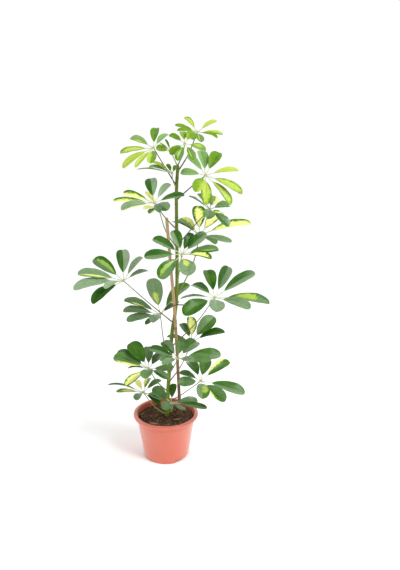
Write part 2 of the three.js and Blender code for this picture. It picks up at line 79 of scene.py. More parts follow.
# ---------------------------------------------------------------- nursery pot
# An injection-moulded polypropylene nursery pot: a thin tapered wall with a rolled rim, a
# shallow stacking shoulder, and a foot ring notched in two places above the drain holes.
POT_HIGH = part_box("pot")[1]
POT_HEIGHT = POT_HIGH.z
POT_RIM_RADIUS = POT_HIGH.x
POT_BASE_RADIUS = 0.0585
POT_BODY_TOP_RADIUS = 0.077
POT_WALL = 0.0016
POT_TURNS = 160
RIM_DROP = 0.0075
SHOULDER_HEIGHT = 0.098
SHOULDER_STEP = 0.001
FOOT_WIDTH = 0.004
FOOT_HEIGHT = 0.007
FLOOR_CENTRE_RADIUS = 0.034
NOTCH_MIDDLES = (68, 248)
NOTCH_SPAN = 86
DRAIN_HOLES = 4
DRAIN_RADIUS = 0.0045
DRAIN_CIRCLE = 0.043


class Value:
    """A shader socket that can be added, scaled and compared like a number."""

    def __init__(self, finish, socket):
        self.finish = finish
        self.socket = socket

    def sum(self, operation, first, second=0.0):
        return self.finish.node("ShaderNodeMath", {"operation": operation}, {0: first, 1: second})

    def __add__(self, other):
        return self.sum("ADD", self, other)

    def __sub__(self, other):
        return self.sum("SUBTRACT", self, other)

    def __rsub__(self, other):
        return self.sum("SUBTRACT", other, self)

    def __mul__(self, other):
        return self.sum("MULTIPLY", self, other)

    def __truediv__(self, other):
        return self.sum("DIVIDE", self, other)

    def __abs__(self):
        return self.sum("ABSOLUTE", self)

    __radd__ = __add__

    def fraction(self):
        return self.sum("FRACT", self)

    def root(self):
        return self.sum("SQRT", self)

    def step(self, low, high, to_low=0.0, to_high=1.0):
        """Eases from to_low to to_high as the value goes from low to high."""
        return self.finish.node(
            "ShaderNodeMapRange", {"interpolation_type": "SMOOTHSTEP"},
            {0: self, 1: low, 2: high, 3: to_low, 4: to_high},
        )


class Finish:
    """A material built from nodes round one Principled shader."""

    def __init__(self, name, **constants):
        self.material = bpy.data.materials.new(name)
        self.material.use_nodes = True
        self.tree = self.material.node_tree
        self.shader = self.tree.nodes["Principled BSDF"]
        for socket, value in constants.items():
            self.shader.inputs[socket.replace("_", " ")].default_value = value

    def node(self, kind, settings=None, sockets=None, output=0):
        node = self.tree.nodes.new(kind)
        for key, value in (settings or {}).items():
            if key == "stops":
                self.set_stops(node.color_ramp, value)
            else:
                setattr(node, key, value)
        for key, value in (sockets or {}).items():
            self.feed(node.inputs[key], value)
        return Value(self, node.outputs[output])

    def set_stops(self, ramp, stops):
        while len(ramp.elements) < len(stops):
            ramp.elements.new(0.5)
        for element, (place, colour) in zip(ramp.elements, stops):
            element.position = place
            element.color = (*colour, 1)

    def feed(self, socket, value):
        if isinstance(value, Value):
            self.tree.links.new(value.socket, socket)
        elif isinstance(value, tuple) and len(value) == 3 and socket.type == "RGBA":
            socket.default_value = (*value, 1)
        else:
            socket.default_value = value

    def place(self):
        return self.node("ShaderNodeTexCoord", output="Object")

    def stretched(self, place, scale):
        return self.node("ShaderNodeMapping", sockets={"Vector": place, "Scale": scale})

    def grain(self, place, scale, detail=3.0, roughness=0.55):
        """Soft noise between 0 and 1."""
        return self.node(
            "ShaderNodeTexNoise", sockets={
                "Vector": place, "Scale": scale, "Detail": detail, "Roughness": roughness,
            },
        )

    def mix(self, share, first, second, blend="MIX"):
        return self.node(
            "ShaderNodeMix", {"data_type": "RGBA", "blend_type": blend},
            {0: share, 6: first, 7: second}, output=2,
        )

    def ramp(self, share, stops):
        return self.node("ShaderNodeValToRGB", {"stops": stops}, {"Fac": share})

    def parts_of(self, vector):
        split = self.tree.nodes.new("ShaderNodeSeparateXYZ")
        self.feed(split.inputs[0], vector)
        return [Value(self, output) for output in split.outputs]

    def vector(self, x=0.0, y=0.0, z=0.0):
        return self.node("ShaderNodeCombineXYZ", sockets={0: x, 1: y, 2: z})

    def attribute(self, name):
        return self.node("ShaderNodeAttribute", {"attribute_name": name}, output="Vector")

    def paint(self, **sockets):
        for socket, value in sockets.items():
            self.feed(self.shader.inputs[socket.replace("_", " ")], value)

    def bump(self, height, distance, strength=1.0):
        relief = {"Height": height, "Distance": distance, "Strength": strength}
        normal = self.node("ShaderNodeBump", sockets=relief, output="Normal")
        self.feed(self.shader.inputs["Normal"], normal)


def deselect_all():
    if bpy.context.object and bpy.context.object.mode == "EDIT":
        bpy.ops.object.mode_set(mode="OBJECT")
    bpy.ops.object.select_all(action="DESELECT")


def select_only(*objects):
    deselect_all()
    for each in objects:
        each.select_set(True)
    bpy.context.view_layer.objects.active = objects[0]


def apply_modifiers(piece):
    select_only(piece)
    for modifier in list(piece.modifiers):
        bpy.ops.object.modifier_apply(modifier=modifier.name)


def dress(piece, *finishes):
    piece.data.materials.clear()
    for finish in finishes:
        piece.data.materials.append(finish.material)


def join(name, *objects):
    select_only(*objects)
    if len(objects) > 1:
        bpy.ops.object.join()
    objects[0].name = name
    objects[0].data.name = name
    return objects[0]


def set_vectors(piece, name, values):
    """Three numbers at every corner of a piece, which its finish can read."""
    marks = piece.data.attributes.new(name, "FLOAT_VECTOR", "POINT")
    marks.data.foreach_set("vector", values)


def smooth(piece, angle=40):
    select_only(piece)
    bpy.ops.object.shade_smooth_by_angle(angle=math.radians(angle))


def fit(piece, slot_name, *nodes):
    """The piece rides with the plant and stands for its CAD nodes, which it hides; slot_name is not
    used.
    """
    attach(piece, "root")
    if nodes:
        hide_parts(*nodes)


def turned(name, profile, turns):
    """A body of revolution about the pot's axis, spun from its profile."""
    deselect_all()
    bpy.ops.mesh.primitive_plane_add(size=0.001, location=(0, 0, 0))
    piece = bpy.context.object
    bpy.ops.object.mode_set(mode="EDIT")
    bpy.ops.mesh.merge(type="CENTER")
    bpy.ops.transform.translate(value=(profile[0][0], 0, profile[0][1]))
    for (radius, height), (last_radius, last_height) in zip(profile[1:], profile):
        step = (radius - last_radius, 0, height - last_height)
        bpy.ops.mesh.extrude_vertices_move(TRANSFORM_OT_translate={"value": step})
    bpy.ops.mesh.select_all(action="SELECT")
    bpy.ops.mesh.spin(steps=turns, angle=2 * math.pi, center=(0, 0, 0), axis=(0, 0, 1))
    bpy.ops.mesh.select_all(action="SELECT")
    bpy.ops.mesh.remove_doubles(threshold=1e-6)
    bpy.ops.mesh.normals_make_consistent(inside=False)
    bpy.ops.object.mode_set(mode="OBJECT")
    piece.name = name
    piece.data.name = name
    return piece


def arc(middle, radius, start, end, count):
    """Points of a profile's rounded corner, angles in degrees."""
    points = []
    for step in range(count + 1):
        turn = math.radians(start + (end - start) * step / count)
        points.append((middle[0] + radius * math.cos(turn), middle[1] + radius * math.sin(turn)))
    return points


def wall_radius(height):
    taper = (POT_BODY_TOP_RADIUS - POT_BASE_RADIUS) / (POT_HEIGHT - 0.003)
    return POT_BASE_RADIUS + taper * height


def cut_with(piece, cutter):
    select_only(piece)
    cut = piece.modifiers.new("cut", "BOOLEAN")
    cut.operation = "DIFFERENCE"
    cut.solver = "EXACT"
    cut.object = cutter
    bpy.ops.object.modifier_apply(modifier=cut.name)
    bpy.data.objects.remove(cutter)


lip = POT_RIM_RADIUS - POT_WALL
under = POT_HEIGHT - POT_WALL - 0.001
floor_top = FOOT_HEIGHT + POT_WALL
rim_round = 0.0030
inner_top = wall_radius(POT_HEIGHT) - POT_WALL
pot_profile = [
    (0, 0), (FLOOR_CENTRE_RADIUS - 0.001, 0), (FLOOR_CENTRE_RADIUS, 0.0006),
    (FLOOR_CENTRE_RADIUS + 0.0015, FOOT_HEIGHT),
    (POT_BASE_RADIUS - FOOT_WIDTH - 0.001, FOOT_HEIGHT), (POT_BASE_RADIUS - FOOT_WIDTH, 0.0005),
    (POT_BASE_RADIUS - FOOT_WIDTH + 0.0006, 0),
    *arc((POT_BASE_RADIUS - 0.0014, 0.0014), 0.0014, -90, 0, 4),
    (wall_radius(SHOULDER_HEIGHT - 0.0015), SHOULDER_HEIGHT - 0.0015),
    (wall_radius(SHOULDER_HEIGHT) + 0.0003, SHOULDER_HEIGHT),
    (wall_radius(SHOULDER_HEIGHT) + SHOULDER_STEP - 0.0002, SHOULDER_HEIGHT + 0.0016),
    (wall_radius(SHOULDER_HEIGHT) + SHOULDER_STEP, SHOULDER_HEIGHT + 0.003),
    (wall_radius(under - 0.003) + SHOULDER_STEP / 2, under - 0.003),
    (wall_radius(under) + 0.002, under),
    *arc((lip - 0.0015, under - 0.0015), 0.0015, 90, 0, 3),
    (lip, POT_HEIGHT - RIM_DROP + 0.0005), (lip + 0.0003, POT_HEIGHT - RIM_DROP),
    (POT_RIM_RADIUS - 0.0004, POT_HEIGHT - RIM_DROP),
    (POT_RIM_RADIUS, POT_HEIGHT - RIM_DROP + 0.0006),
    *arc((POT_RIM_RADIUS - rim_round, POT_HEIGHT - rim_round), rim_round, 0, 90, 7),
    *arc((inner_top + 0.0022, POT_HEIGHT - 0.0022), 0.0022, 90, 180, 5),
    (inner_top - 0.0006, POT_HEIGHT - 0.006),
    (wall_radius(floor_top + 0.001) - POT_WALL, floor_top + 0.001),
    (wall_radius(floor_top) - POT_WALL - 0.001, floor_top),
    (FLOOR_CENTRE_RADIUS - 0.0002, floor_top),
    (FLOOR_CENTRE_RADIUS - POT_WALL, POT_WALL), (0, POT_WALL),
]
pot = turned("nursery_pot", pot_profile, POT_TURNS)

for middle in NOTCH_MIDDLES:
    notch_profile = [
        (POT_BASE_RADIUS - FOOT_WIDTH - 0.002, -0.001), (POT_BASE_RADIUS + 0.003, -0.001),
        (POT_BASE_RADIUS + 0.003, FOOT_HEIGHT), (POT_BASE_RADIUS - FOOT_WIDTH - 0.002, FOOT_HEIGHT),
    ]
    deselect_all()
    bpy.ops.mesh.primitive_plane_add(size=1)
    notch = bpy.context.object
    for vertex, (radius, height) in zip((0, 1, 3, 2), notch_profile):
        notch.data.vertices[vertex].co = (radius, 0, height)
    bpy.ops.object.mode_set(mode="EDIT")
    bpy.ops.mesh.spin(
        steps=30, angle=math.radians(NOTCH_SPAN), center=(0, 0, 0), axis=(0, 0, 1), dupli=False,
    )
    bpy.ops.mesh.select_all(action="SELECT")
    bpy.ops.mesh.normals_make_consistent(inside=False)
    bpy.ops.object.mode_set(mode="OBJECT")
    notch.rotation_euler.z = math.radians(middle - 90 + NOTCH_SPAN / 2)
    bpy.ops.object.transform_apply(location=False, rotation=True, scale=False)
    cut_with(pot, notch)

for hole in range(DRAIN_HOLES):
    turn = 2 * math.pi * hole / DRAIN_HOLES
    deselect_all()
    bpy.ops.mesh.primitive_cylinder_add(
        vertices=24, radius=DRAIN_RADIUS, depth=3 * floor_top,
        location=(DRAIN_CIRCLE * math.cos(turn), DRAIN_CIRCLE * math.sin(turn), 0),
    )
    cut_with(pot, bpy.context.object)

plastic = Finish(
    "pot_plastic", Specular_IOR_Level=0.6, Coat_Weight=0.4, Coat_Roughness=0.3,
    Sheen_Weight=0.35, Sheen_Roughness=0.45)
spot = plastic.place()
cloud = plastic.grain(spot, 18.0, 4.0)
speck = plastic.grain(spot, 900.0, 2.0)
height = plastic.parts_of(spot)[2]
dust = plastic.grain(plastic.stretched(spot, (60.0, 60.0, 9.0)), 1.0, 5.0)
dusty = dust.step(0.55, 0.8) * height.step(0.0, 0.03, 1.0, 0.25)
moulded = plastic.mix(cloud, (0.62, 0.125, 0.062), (0.54, 0.095, 0.045))
plastic.paint(
    Base_Color=plastic.mix(dusty * 0.25, moulded, (0.66, 0.30, 0.20)),
    Roughness=cloud.step(0.3, 0.7, 0.34, 0.46),
)
plastic.bump(speck + dust * 0.5, 0.00006)
dress(pot, plastic)
smooth(pot, 35)
fit(pot, "pot", "pot")


# ---------------------------------------------------------------- potting soil
# Loose dark peat compost, heaped a little round the stem, with bark chips, root fibres and
# three dry husks lying on it. Crumbs of a few shapes are copied over the surface.
SOIL_EDGE_HEIGHT = 0.109
SOIL_CROWN = 0.004
SOIL_MARGIN = 0.001
SOIL_SETTLED = 0.0004
SOIL_ROUGHNESS = 0.0019
SOIL_LUMPS_A_METRE = 90
SOIL_GAP = 0.0003
SOIL_COLUMNS = 96
SOIL_ROWS = 22
CRUMBS = 1500
CRUMB_SHAPES = 4
CRUMB_SIZES = (0.0010, 0.0042)
CHIPS = 130
CHIP_LENGTHS = (0.004, 0.011)
CHIP_FLATNESS = 0.16
CHIP_LIFT = 0.0012
FIBRES = 48
FIBRE_CORNERS = 4
FIBRE_STEPS = 14
FIBRE_RADIUS = 0.00028
FIBRE_LENGTHS = (0.006, 0.020)
FIBRE_LIFTS = (0.0008, 0.0035)
FIBRE_WANDER = 0.0016
HUSK_PLACES = ((0.033, -0.024, 25), (-0.030, -0.046, 160), (0.012, 0.038, 80))
HUSK_LENGTH = 0.024
HUSK_WIDTH = 0.007
HUSK_THICKNESS = 0.0003
HUSK_CURL = 1.3
HUSK_SKEW = 0.0012
HUSK_LIFT = 0.0022
HUSK_TIP_LIFT = 0.0035


def soil_height(x, y):
    """Height of the compost's surface, kept below the CAD plug's highest point."""
    radius = wall_radius(SOIL_EDGE_HEIGHT) - POT_WALL
    share = min(math.hypot(x, y) / radius, 1)
    crown = (SOIL_CROWN - SOIL_MARGIN) * (1 - share ** 2)
    lumps = noise.fractal(Vector((x, y, 0)) * SOIL_LUMPS_A_METRE, 1, 2, 4)
    rough = lumps * SOIL_ROUGHNESS * (1 - share ** 6)
    return SOIL_EDGE_HEIGHT + crown + rough - SOIL_SETTLED


def soil_inner(height):
    return wall_radius(height) - POT_WALL - SOIL_GAP


def part_way(ends, share):
    return ends[0] + (ends[1] - ends[0]) * share


def scattered(share):
    """A random place on the compost, within a share of its radius."""
    spread = soil_radius * share * math.sqrt(chance.random())
    turn = chance.uniform(0, 2 * math.pi)
    return spread * math.cos(turn), spread * math.sin(turn)


def copy_of(piece):
    """A copy of a piece, with a mesh of its own."""
    twin = piece.copy()
    twin.data = piece.data.copy()
    bpy.context.collection.objects.link(twin)
    return twin


def smooth_route(points, steps):
    """A centripetal curve through the points, at evenly counted steps."""
    points = [Vector(point) for point in points]
    ends = [2 * points[0] - points[1], *points, 2 * points[-1] - points[-2]]
    route = []
    for step in range(steps + 1):
        place = step / steps * (len(points) - 1)
        span = min(int(place), len(points) - 2)
        share = place - span
        before, start, end, after = ends[span:span + 4]
        near, mid, far = [
            max(math.sqrt((b - a).length), 1e-4)
            for a, b in ((before, start), (start, end), (end, after))
        ]
        leave = ((start - before) / near - (end - before) / (near + mid)) * mid + (end - start)
        arrive = (end - start) + ((after - end) / far - (after - start) / (mid + far)) * mid
        square, cube = share ** 2, share ** 3
        route.append(
            start * (2 * cube - 3 * square + 1) + leave * (cube - 2 * square + share)
            + end * (3 * square - 2 * cube) + arrive * (cube - square)
        )
    return route


def rods(name, runs, roundness=2):
    """Round rods joined in one mesh, each a run of points with a radius at each."""
    deselect_all()
    bpy.ops.curve.primitive_nurbs_path_add(location=(0, 0, 0))
    rod = bpy.context.object
    rod.data.bevel_depth = 1
    rod.data.bevel_resolution = roundness
    rod.data.use_fill_caps = True
    rod.data.splines.clear()
    for points, radii in runs:
        spline = rod.data.splines.new("POLY")
        spline.points.add(len(points) - 1)
        spline.use_cyclic_u = (points[0] - points[-1]).length < 1e-6
        for place, point, radius in zip(spline.points, points, radii):
            place.co = (*point, 1)
            place.radius = radius
    bpy.ops.object.convert(target="MESH")
    rod = bpy.context.object
    rod.name = name
    return rod


floor_clear = floor_top + SOIL_GAP
soil_profile = [
    (0, POT_WALL + SOIL_GAP), (FLOOR_CENTRE_RADIUS - POT_WALL - SOIL_GAP, POT_WALL + SOIL_GAP),
    (FLOOR_CENTRE_RADIUS - 0.0002 - SOIL_GAP, floor_clear), (soil_inner(floor_clear), floor_clear),
]
for row in range(SOIL_ROWS + 1):
    share = 1 - row / SOIL_ROWS
    soil_profile.append((share * soil_inner(SOIL_EDGE_HEIGHT), SOIL_EDGE_HEIGHT))
soil = turned("potting_soil", soil_profile, SOIL_COLUMNS)
for vertex in soil.data.vertices:
    if vertex.co.z > SOIL_EDGE_HEIGHT - 0.0001:
        vertex.co.z = soil_height(vertex.co.x, vertex.co.y)

chance = random.Random(5)
crumb_shapes = []
for kind in range(CRUMB_SHAPES):
    deselect_all()
    bpy.ops.mesh.primitive_ico_sphere_add(subdivisions=1, radius=1)
    crumb = bpy.context.object
    bpy.ops.object.mode_set(mode="EDIT")
    bpy.ops.transform.vertex_random(offset=0.35, seed=kind)
    bpy.ops.object.mode_set(mode="OBJECT")
    crumb_shapes.append(crumb)

crumbs = []
soil_radius = soil_inner(SOIL_EDGE_HEIGHT)
for count in range(CRUMBS):
    crumb = copy_of(crumb_shapes[count % CRUMB_SHAPES])
    x, y = scattered(0.97)
    size = part_way(CRUMB_SIZES, chance.random() ** 3)
    crumb.scale = (size, size * chance.uniform(0.5, 1), size * chance.uniform(0.35, 0.8))
    crumb.rotation_euler = [chance.uniform(0, 2 * math.pi) for _ in range(3)]
    crumb.location = (x, y, soil_height(x, y) + size * 0.1)
    crumbs.append(crumb)
for shape in crumb_shapes:
    bpy.data.objects.remove(shape)
soil_crumbs = join("soil_crumbs", *crumbs)
bpy.ops.object.transform_apply(location=True, rotation=True, scale=True)

deselect_all()
bpy.ops.mesh.primitive_cube_add(size=1)
chip_shape = bpy.context.object
bpy.ops.object.mode_set(mode="EDIT")
bpy.ops.mesh.bevel(offset=0.25, segments=1)
bpy.ops.transform.vertex_random(offset=0.12, seed=3)
bpy.ops.object.mode_set(mode="OBJECT")

chips = []
for count in range(CHIPS):
    chip = copy_of(chip_shape)
    x, y = scattered(0.93)
    length = part_way(CHIP_LENGTHS, chance.random() ** 2)
    chip.scale = (length, length * chance.uniform(0.2, 0.45), length * CHIP_FLATNESS)
    chip.rotation_euler = (chance.gauss(0, 0.3), chance.gauss(0, 0.3), chance.uniform(0, math.pi))
    chip.location = (x, y, soil_height(x, y) + CHIP_LIFT)
    chips.append(chip)
bpy.data.objects.remove(chip_shape)
bark_chips = join("bark_chips", *chips)
bpy.ops.object.transform_apply(location=True, rotation=True, scale=True)

threads = []
for count in range(FIBRES):
    x, y = scattered(0.9)
    length = chance.uniform(*FIBRE_LENGTHS)
    heading = chance.uniform(0, 2 * math.pi)
    corners = []
    for corner in range(FIBRE_CORNERS):
        reach = length * (corner / (FIBRE_CORNERS - 1) - 0.5)
        corner_x = x + reach * math.cos(heading) + chance.gauss(0, FIBRE_WANDER)
        corner_y = y + reach * math.sin(heading) + chance.gauss(0, FIBRE_WANDER)
        if math.hypot(corner_x, corner_y) < soil_radius * 0.95:
            level = soil_height(corner_x, corner_y) + chance.uniform(*FIBRE_LIFTS)
            corners.append((corner_x, corner_y, level))
    if len(corners) > 2:
        thread = smooth_route(corners, FIBRE_STEPS)
        threads.append((thread, [FIBRE_RADIUS] * len(thread)))
root_fibres = rods("root_fibres", threads, roundness=0)

husks = []
for x, y, heading in HUSK_PLACES:
    deselect_all()
    bpy.ops.mesh.primitive_grid_add(x_subdivisions=18, y_subdivisions=8, size=2)
    husk = bpy.context.object
    turn = math.radians(heading)
    for vertex in husk.data.vertices:
        along, across = vertex.co.x, vertex.co.y
        half = HUSK_WIDTH / 2 * (1 - along ** 2) ** 0.7
        sideways = half * math.sin(across * HUSK_CURL)
        curl = half * (1 - math.cos(across * HUSK_CURL))
        lift = HUSK_LIFT + curl + HUSK_TIP_LIFT * along ** 2
        lengthways = HUSK_LENGTH / 2 * along + HUSK_SKEW * across
        place_x = x + lengthways * math.cos(turn) - sideways * math.sin(turn)
        place_y = y + lengthways * math.sin(turn) + sideways * math.cos(turn)
        vertex.co = (place_x, place_y, soil_height(x, y) + lift)
    bpy.ops.object.mode_set(mode="EDIT")
    bpy.ops.mesh.select_all(action="SELECT")
    bpy.ops.mesh.remove_doubles(threshold=1e-5)
    bpy.ops.mesh.normals_make_consistent(inside=False)
    bpy.ops.object.mode_set(mode="OBJECT")
    thicken = husk.modifiers.new("thicken", "SOLIDIFY")
    thicken.thickness = HUSK_THICKNESS
    apply_modifiers(husk)
    husks.append(husk)
dry_husks = join("dry_husks", *husks)

peat = Finish("peat", Roughness=0.95, Specular_IOR_Level=0.15)
spot = peat.place()
lumps = peat.grain(spot, 150.0, 6.0, 0.7)
damp = peat.grain(spot, 26.0, 3.0)
strands = peat.grain(peat.stretched(spot, (900.0, 160.0, 300.0)), 1.0, 4.0)
earth = peat.ramp(lumps, [
    (0.25, (0.018, 0.010, 0.007)), (0.43, (0.060, 0.032, 0.020)),
    (0.56, (0.16, 0.085, 0.048)), (0.72, (0.33, 0.21, 0.13)),
])
wet = peat.mix(damp.step(0.4, 0.65) * 0.35, earth, (0.020, 0.012, 0.008))
peat.paint(Base_Color=peat.mix(strands.step(0.62, 0.72) * 0.6, wet, (0.30, 0.19, 0.11)))
peat.bump(lumps + strands * 0.4, 0.0012)

dry_bark = Finish("dry_bark", Roughness=0.9, Specular_IOR_Level=0.15)
spot = dry_bark.place()
tone = dry_bark.grain(spot, 70.0, 2.0)
grain = dry_bark.grain(dry_bark.stretched(spot, (800.0, 800.0, 300.0)), 1.0, 3.0)
brown = dry_bark.ramp(tone, [
    (0.35, (0.06, 0.030, 0.018)), (0.5, (0.16, 0.085, 0.045)), (0.65, (0.36, 0.25, 0.15)),
])
dry_bark.paint(Base_Color=dry_bark.mix(grain.step(0.4, 0.7) * 0.5, brown, (0.07, 0.035, 0.02)))
dry_bark.bump(grain, 0.0005)

straw = Finish("dry_straw", Roughness=0.8, Specular_IOR_Level=0.2)
spot = straw.place()
vein = straw.grain(straw.stretched(spot, (500.0, 160.0, 500.0)), 1.0, 4.0)
straw.paint(Base_Color=straw.mix(vein.step(0.35, 0.65), (0.24, 0.15, 0.075), (0.50, 0.37, 0.21)))
straw.bump(vein, 0.0003)

dress(soil, peat)
dress(soil_crumbs, peat)
dress(bark_chips, dry_bark)
dress(root_fibres, straw)
dress(dry_husks, straw)
smooth(dry_husks, 60)
fit(soil, "soil", "soil")
fit(soil_crumbs, "soil")
fit(bark_chips, "soil")
fit(root_fibres, "soil")
fit(dry_husks, "soil")


# ---------------------------------------------------------------- stem
# One young woody stem, lime green with brown rings where old leaves fell, paler and stouter
# at the foot and olive brown at the growing tip. It stands in the compost beside the cane.
STEM_LINE = [
    (167.2, 416), (168.7, 380), (170, 363), (172.2, 331), (174.4, 318),
    (176.5, 299), (177, 259), (176.7, 228), (176.5, 190), (178, 164),
]
STEM_FOOT_HEIGHT = 0.055
STEM_FOOT_RADIUS = 0.006
STEM_TOP_RADIUS = 0.0043
STEM_TIP_SHARE = 0.012
STEM_STEPS = 420
STEM_SKIN = 0.0004
SCAR_RISE = 0.00045
SCAR_WIDTH = 0.0016
SCAR_HEIGHTS = (0.135, 0.152, 0.178, 0.214, 0.243, 0.262, 0.301, 0.338, 0.372, 0.398, 0.440,
                0.477, 0.512, 0.548, 0.590, 0.624, 0.655, 0.688, 0.707, 0.731, 0.752, 0.770)

stem_points = [sighted(*place) for place in STEM_LINE]
stem_points = [Vector((stem_points[0].x, stem_points[0].y, STEM_FOOT_HEIGHT)), *stem_points]


def stem_radius(share):
    """The stem's radius, rounded off over its last few millimetres."""
    full = STEM_FOOT_RADIUS + (STEM_TOP_RADIUS - STEM_FOOT_RADIUS) * share ** 0.9
    return full * math.sqrt(min((1.0015 - share) / STEM_TIP_SHARE, 1))


def scar_share(height):
    """1 in the middle of a leaf scar, easing to 0 beside it."""
    return max(math.exp(-((height - scar) / SCAR_WIDTH) ** 2) for scar in SCAR_HEIGHTS)


stem_route = smooth_route(stem_points, STEM_STEPS)
stem_radii = [
    stem_radius(step / STEM_STEPS) - STEM_SKIN + SCAR_RISE * scar_share(point.z)
    for step, point in enumerate(stem_route)
]
stem = rods("woody_stem", [(stem_route, stem_radii)], roundness=5)
scar_values = []
for vertex in stem.data.vertices:
    scar_values += [scar_share(vertex.co.z), 0, 0]
set_vectors(stem, "scar", scar_values)

bark = Finish("green_bark", Roughness=0.5, Specular_IOR_Level=0.25)
spot = bark.place()
height = bark.parts_of(spot)[2]
streak = bark.grain(bark.stretched(spot, (420.0, 420.0, 30.0)), 1.0, 4.0)
mottle = bark.grain(spot, 60.0, 4.0)
green = bark.ramp(height, [
    (0.10, (0.17, 0.20, 0.01)), (0.13, (0.19, 0.33, 0.010)), (0.30, (0.16, 0.29, 0.014)),
    (0.42, (0.13, 0.20, 0.010)), (0.62, (0.13, 0.22, 0.010)), (0.76, (0.10, 0.14, 0.012)),
])
shaded = bark.mix(streak.step(0.42, 0.66) * 0.5, green, (0.08, 0.11, 0.02))
spotted = bark.mix(mottle.step(0.54, 0.7) * 0.6, shaded, (0.15, 0.11, 0.045))
scarred = bark.parts_of(bark.attribute("scar"))[0]
bark.paint(Base_Color=bark.mix(scarred * 0.75, spotted, (0.13, 0.085, 0.045)))
bark.bump(streak + scarred * 0.6, 0.0004)
dress(stem, bark)
smooth(stem, 60)
fit(stem, "stem", "stem")


# ---------------------------------------------------------------- bamboo cane
# A straight split-proof bamboo cane pushed into the compost in front of the stem, tan, with
# painted shade darkening it towards the soil, ringed knots and a sawn top.
CANE_LINE = [(180.2, 418), (178.2, 374), (174.3, 307), (170.8, 268), (166.6, 218)]
CANE_BACK = -11.2
CANE_FOOT_HEIGHT = 0.016
CANE_RADIUS = 0.0045
CANE_SKIN = 0.0002
CANE_TAPER = 0.0005
CANE_KNOT_SWELL = 0.0006
CANE_GROOVE = 0.0003
CANE_KNOTS = (0.04, 0.3, 0.55, 0.8)
CANE_STEPS = 400

cane_points = [sighted(across, down, CANE_BACK) for across, down in CANE_LINE]
slope = cane_points[0] - cane_points[1]
drop = (cane_points[0].z - CANE_FOOT_HEIGHT) / -slope.z
cane_route = smooth_route([cane_points[0] + slope * drop, *cane_points], CANE_STEPS)


def knot_share(share, width=0.006):
    return max(math.exp(-((share - knot) / width) ** 2) for knot in CANE_KNOTS)


cane_radii = []
for step in range(CANE_STEPS + 1):
    share = step / CANE_STEPS
    groove = CANE_GROOVE * knot_share(share - 0.011, 0.003)
    swell = CANE_KNOT_SWELL * knot_share(share)
    cane_radii.append(CANE_RADIUS - CANE_SKIN - CANE_TAPER * share + swell - groove)
cane = rods("bamboo_cane", [(cane_route, cane_radii)], roundness=5)
cane_rise = cane_route[-1].z - cane_route[0].z
knot_values = []
for vertex in cane.data.vertices:
    share = (vertex.co.z - cane_route[0].z) / cane_rise
    knot_values += [knot_share(share, 0.004), knot_share(share - 0.012, 0.008), share]
set_vectors(cane, "knot", knot_values)

bamboo = Finish("dry_bamboo", Roughness=0.42, Specular_IOR_Level=0.3)
spot = bamboo.place()
fibre = bamboo.grain(bamboo.stretched(spot, (900.0, 900.0, 14.0)), 1.0, 4.0)
stain = bamboo.grain(bamboo.stretched(spot, (120.0, 120.0, 22.0)), 1.0, 5.0)
ring, pale, share = bamboo.parts_of(bamboo.attribute("knot"))
# Painted shade: the tan darkens down the cane's lower half towards the soil, where the foliage
# shades it.
tan_with_painted_shade = bamboo.ramp(share, [
    (0.12, (0.12, 0.070, 0.032)), (0.36, (0.18, 0.100, 0.045)), (0.55, (0.38, 0.240, 0.105)),
    (1.0, (0.44, 0.31, 0.155)),
])
lined = bamboo.mix(fibre.step(0.45, 0.7) * 0.35, tan_with_painted_shade, (0.28, 0.165, 0.08))
stained = bamboo.mix(stain.step(0.52, 0.7) * 0.45, lined, (0.22, 0.13, 0.07))
banded = bamboo.mix(pale * 0.3, stained, (0.62, 0.46, 0.28))
bamboo.paint(
    Base_Color=bamboo.mix(ring * 0.7, banded, (0.12, 0.06, 0.03)),
    Roughness=stain.step(0.3, 0.7, 0.36, 0.55),
)
bamboo.bump(fibre, 0.0002)
dress(cane, bamboo)
smooth(cane, 60)
fit(cane, "cane", "cane")


# ---------------------------------------------------------------- wire tie
# A length of black plastic-coated garden wire looped once round the stem and the cane, with
# its two ends twisted together and left standing to the right.
TIE_SIGHTING = (175.2, 302.5)
WIRE_RADIUS = 0.0009
TIE_TAIL = 0.019
TIE_TAIL_DROP = 0.002
TIE_TWISTS = 2.5
TIE_STEPS = 40
TIE_RISE = 0.001
STEM_RADIUS_AT_TIE = 0.0049
TIE_STAND_OFF = 0.001 + WIRE_RADIUS + 0.0003


def at_height(route, height):
    return min(route, key=lambda point: abs(point.z - height))


def half_turn(middle, radius, start, level, count=12):
    points = []
    for step in range(count + 1):
        turn = start + math.pi * step / count
        points.append(Vector((
            middle.x + radius * math.cos(turn), middle.y + radius * math.sin(turn), level)))
    return points


tie_height = sighted(*TIE_SIGHTING).z
stem_middle = at_height(stem_route, tie_height)
cane_middle = at_height(cane_route, tie_height)
facing = math.atan2(cane_middle.y - stem_middle.y, cane_middle.x - stem_middle.x)
round_cane = half_turn(
    cane_middle, CANE_RADIUS + TIE_STAND_OFF, facing - math.pi / 2, tie_height - TIE_RISE)
round_stem = half_turn(
    stem_middle, STEM_RADIUS_AT_TIE + TIE_STAND_OFF, facing + math.pi / 2,
    tie_height + TIE_RISE)
loop = [*round_cane, *round_stem, round_cane[0]]
wire_runs = [(loop, [WIRE_RADIUS] * len(loop))]
for phase in (0, math.pi):
    strand = []
    for step in range(TIE_STEPS + 1):
        share = step / TIE_STEPS
        turn = phase + 2 * math.pi * TIE_TWISTS * share
        strand.append(round_cane[-1] + Vector((
            TIE_TAIL * share,
            -0.0015 - TIE_TAIL_DROP * share + WIRE_RADIUS * math.cos(turn),
            TIE_RISE + WIRE_RADIUS * math.sin(turn))))
    wire_runs.append((strand, [WIRE_RADIUS] * len(strand)))
tie = rods("garden_wire", wire_runs, roundness=2)

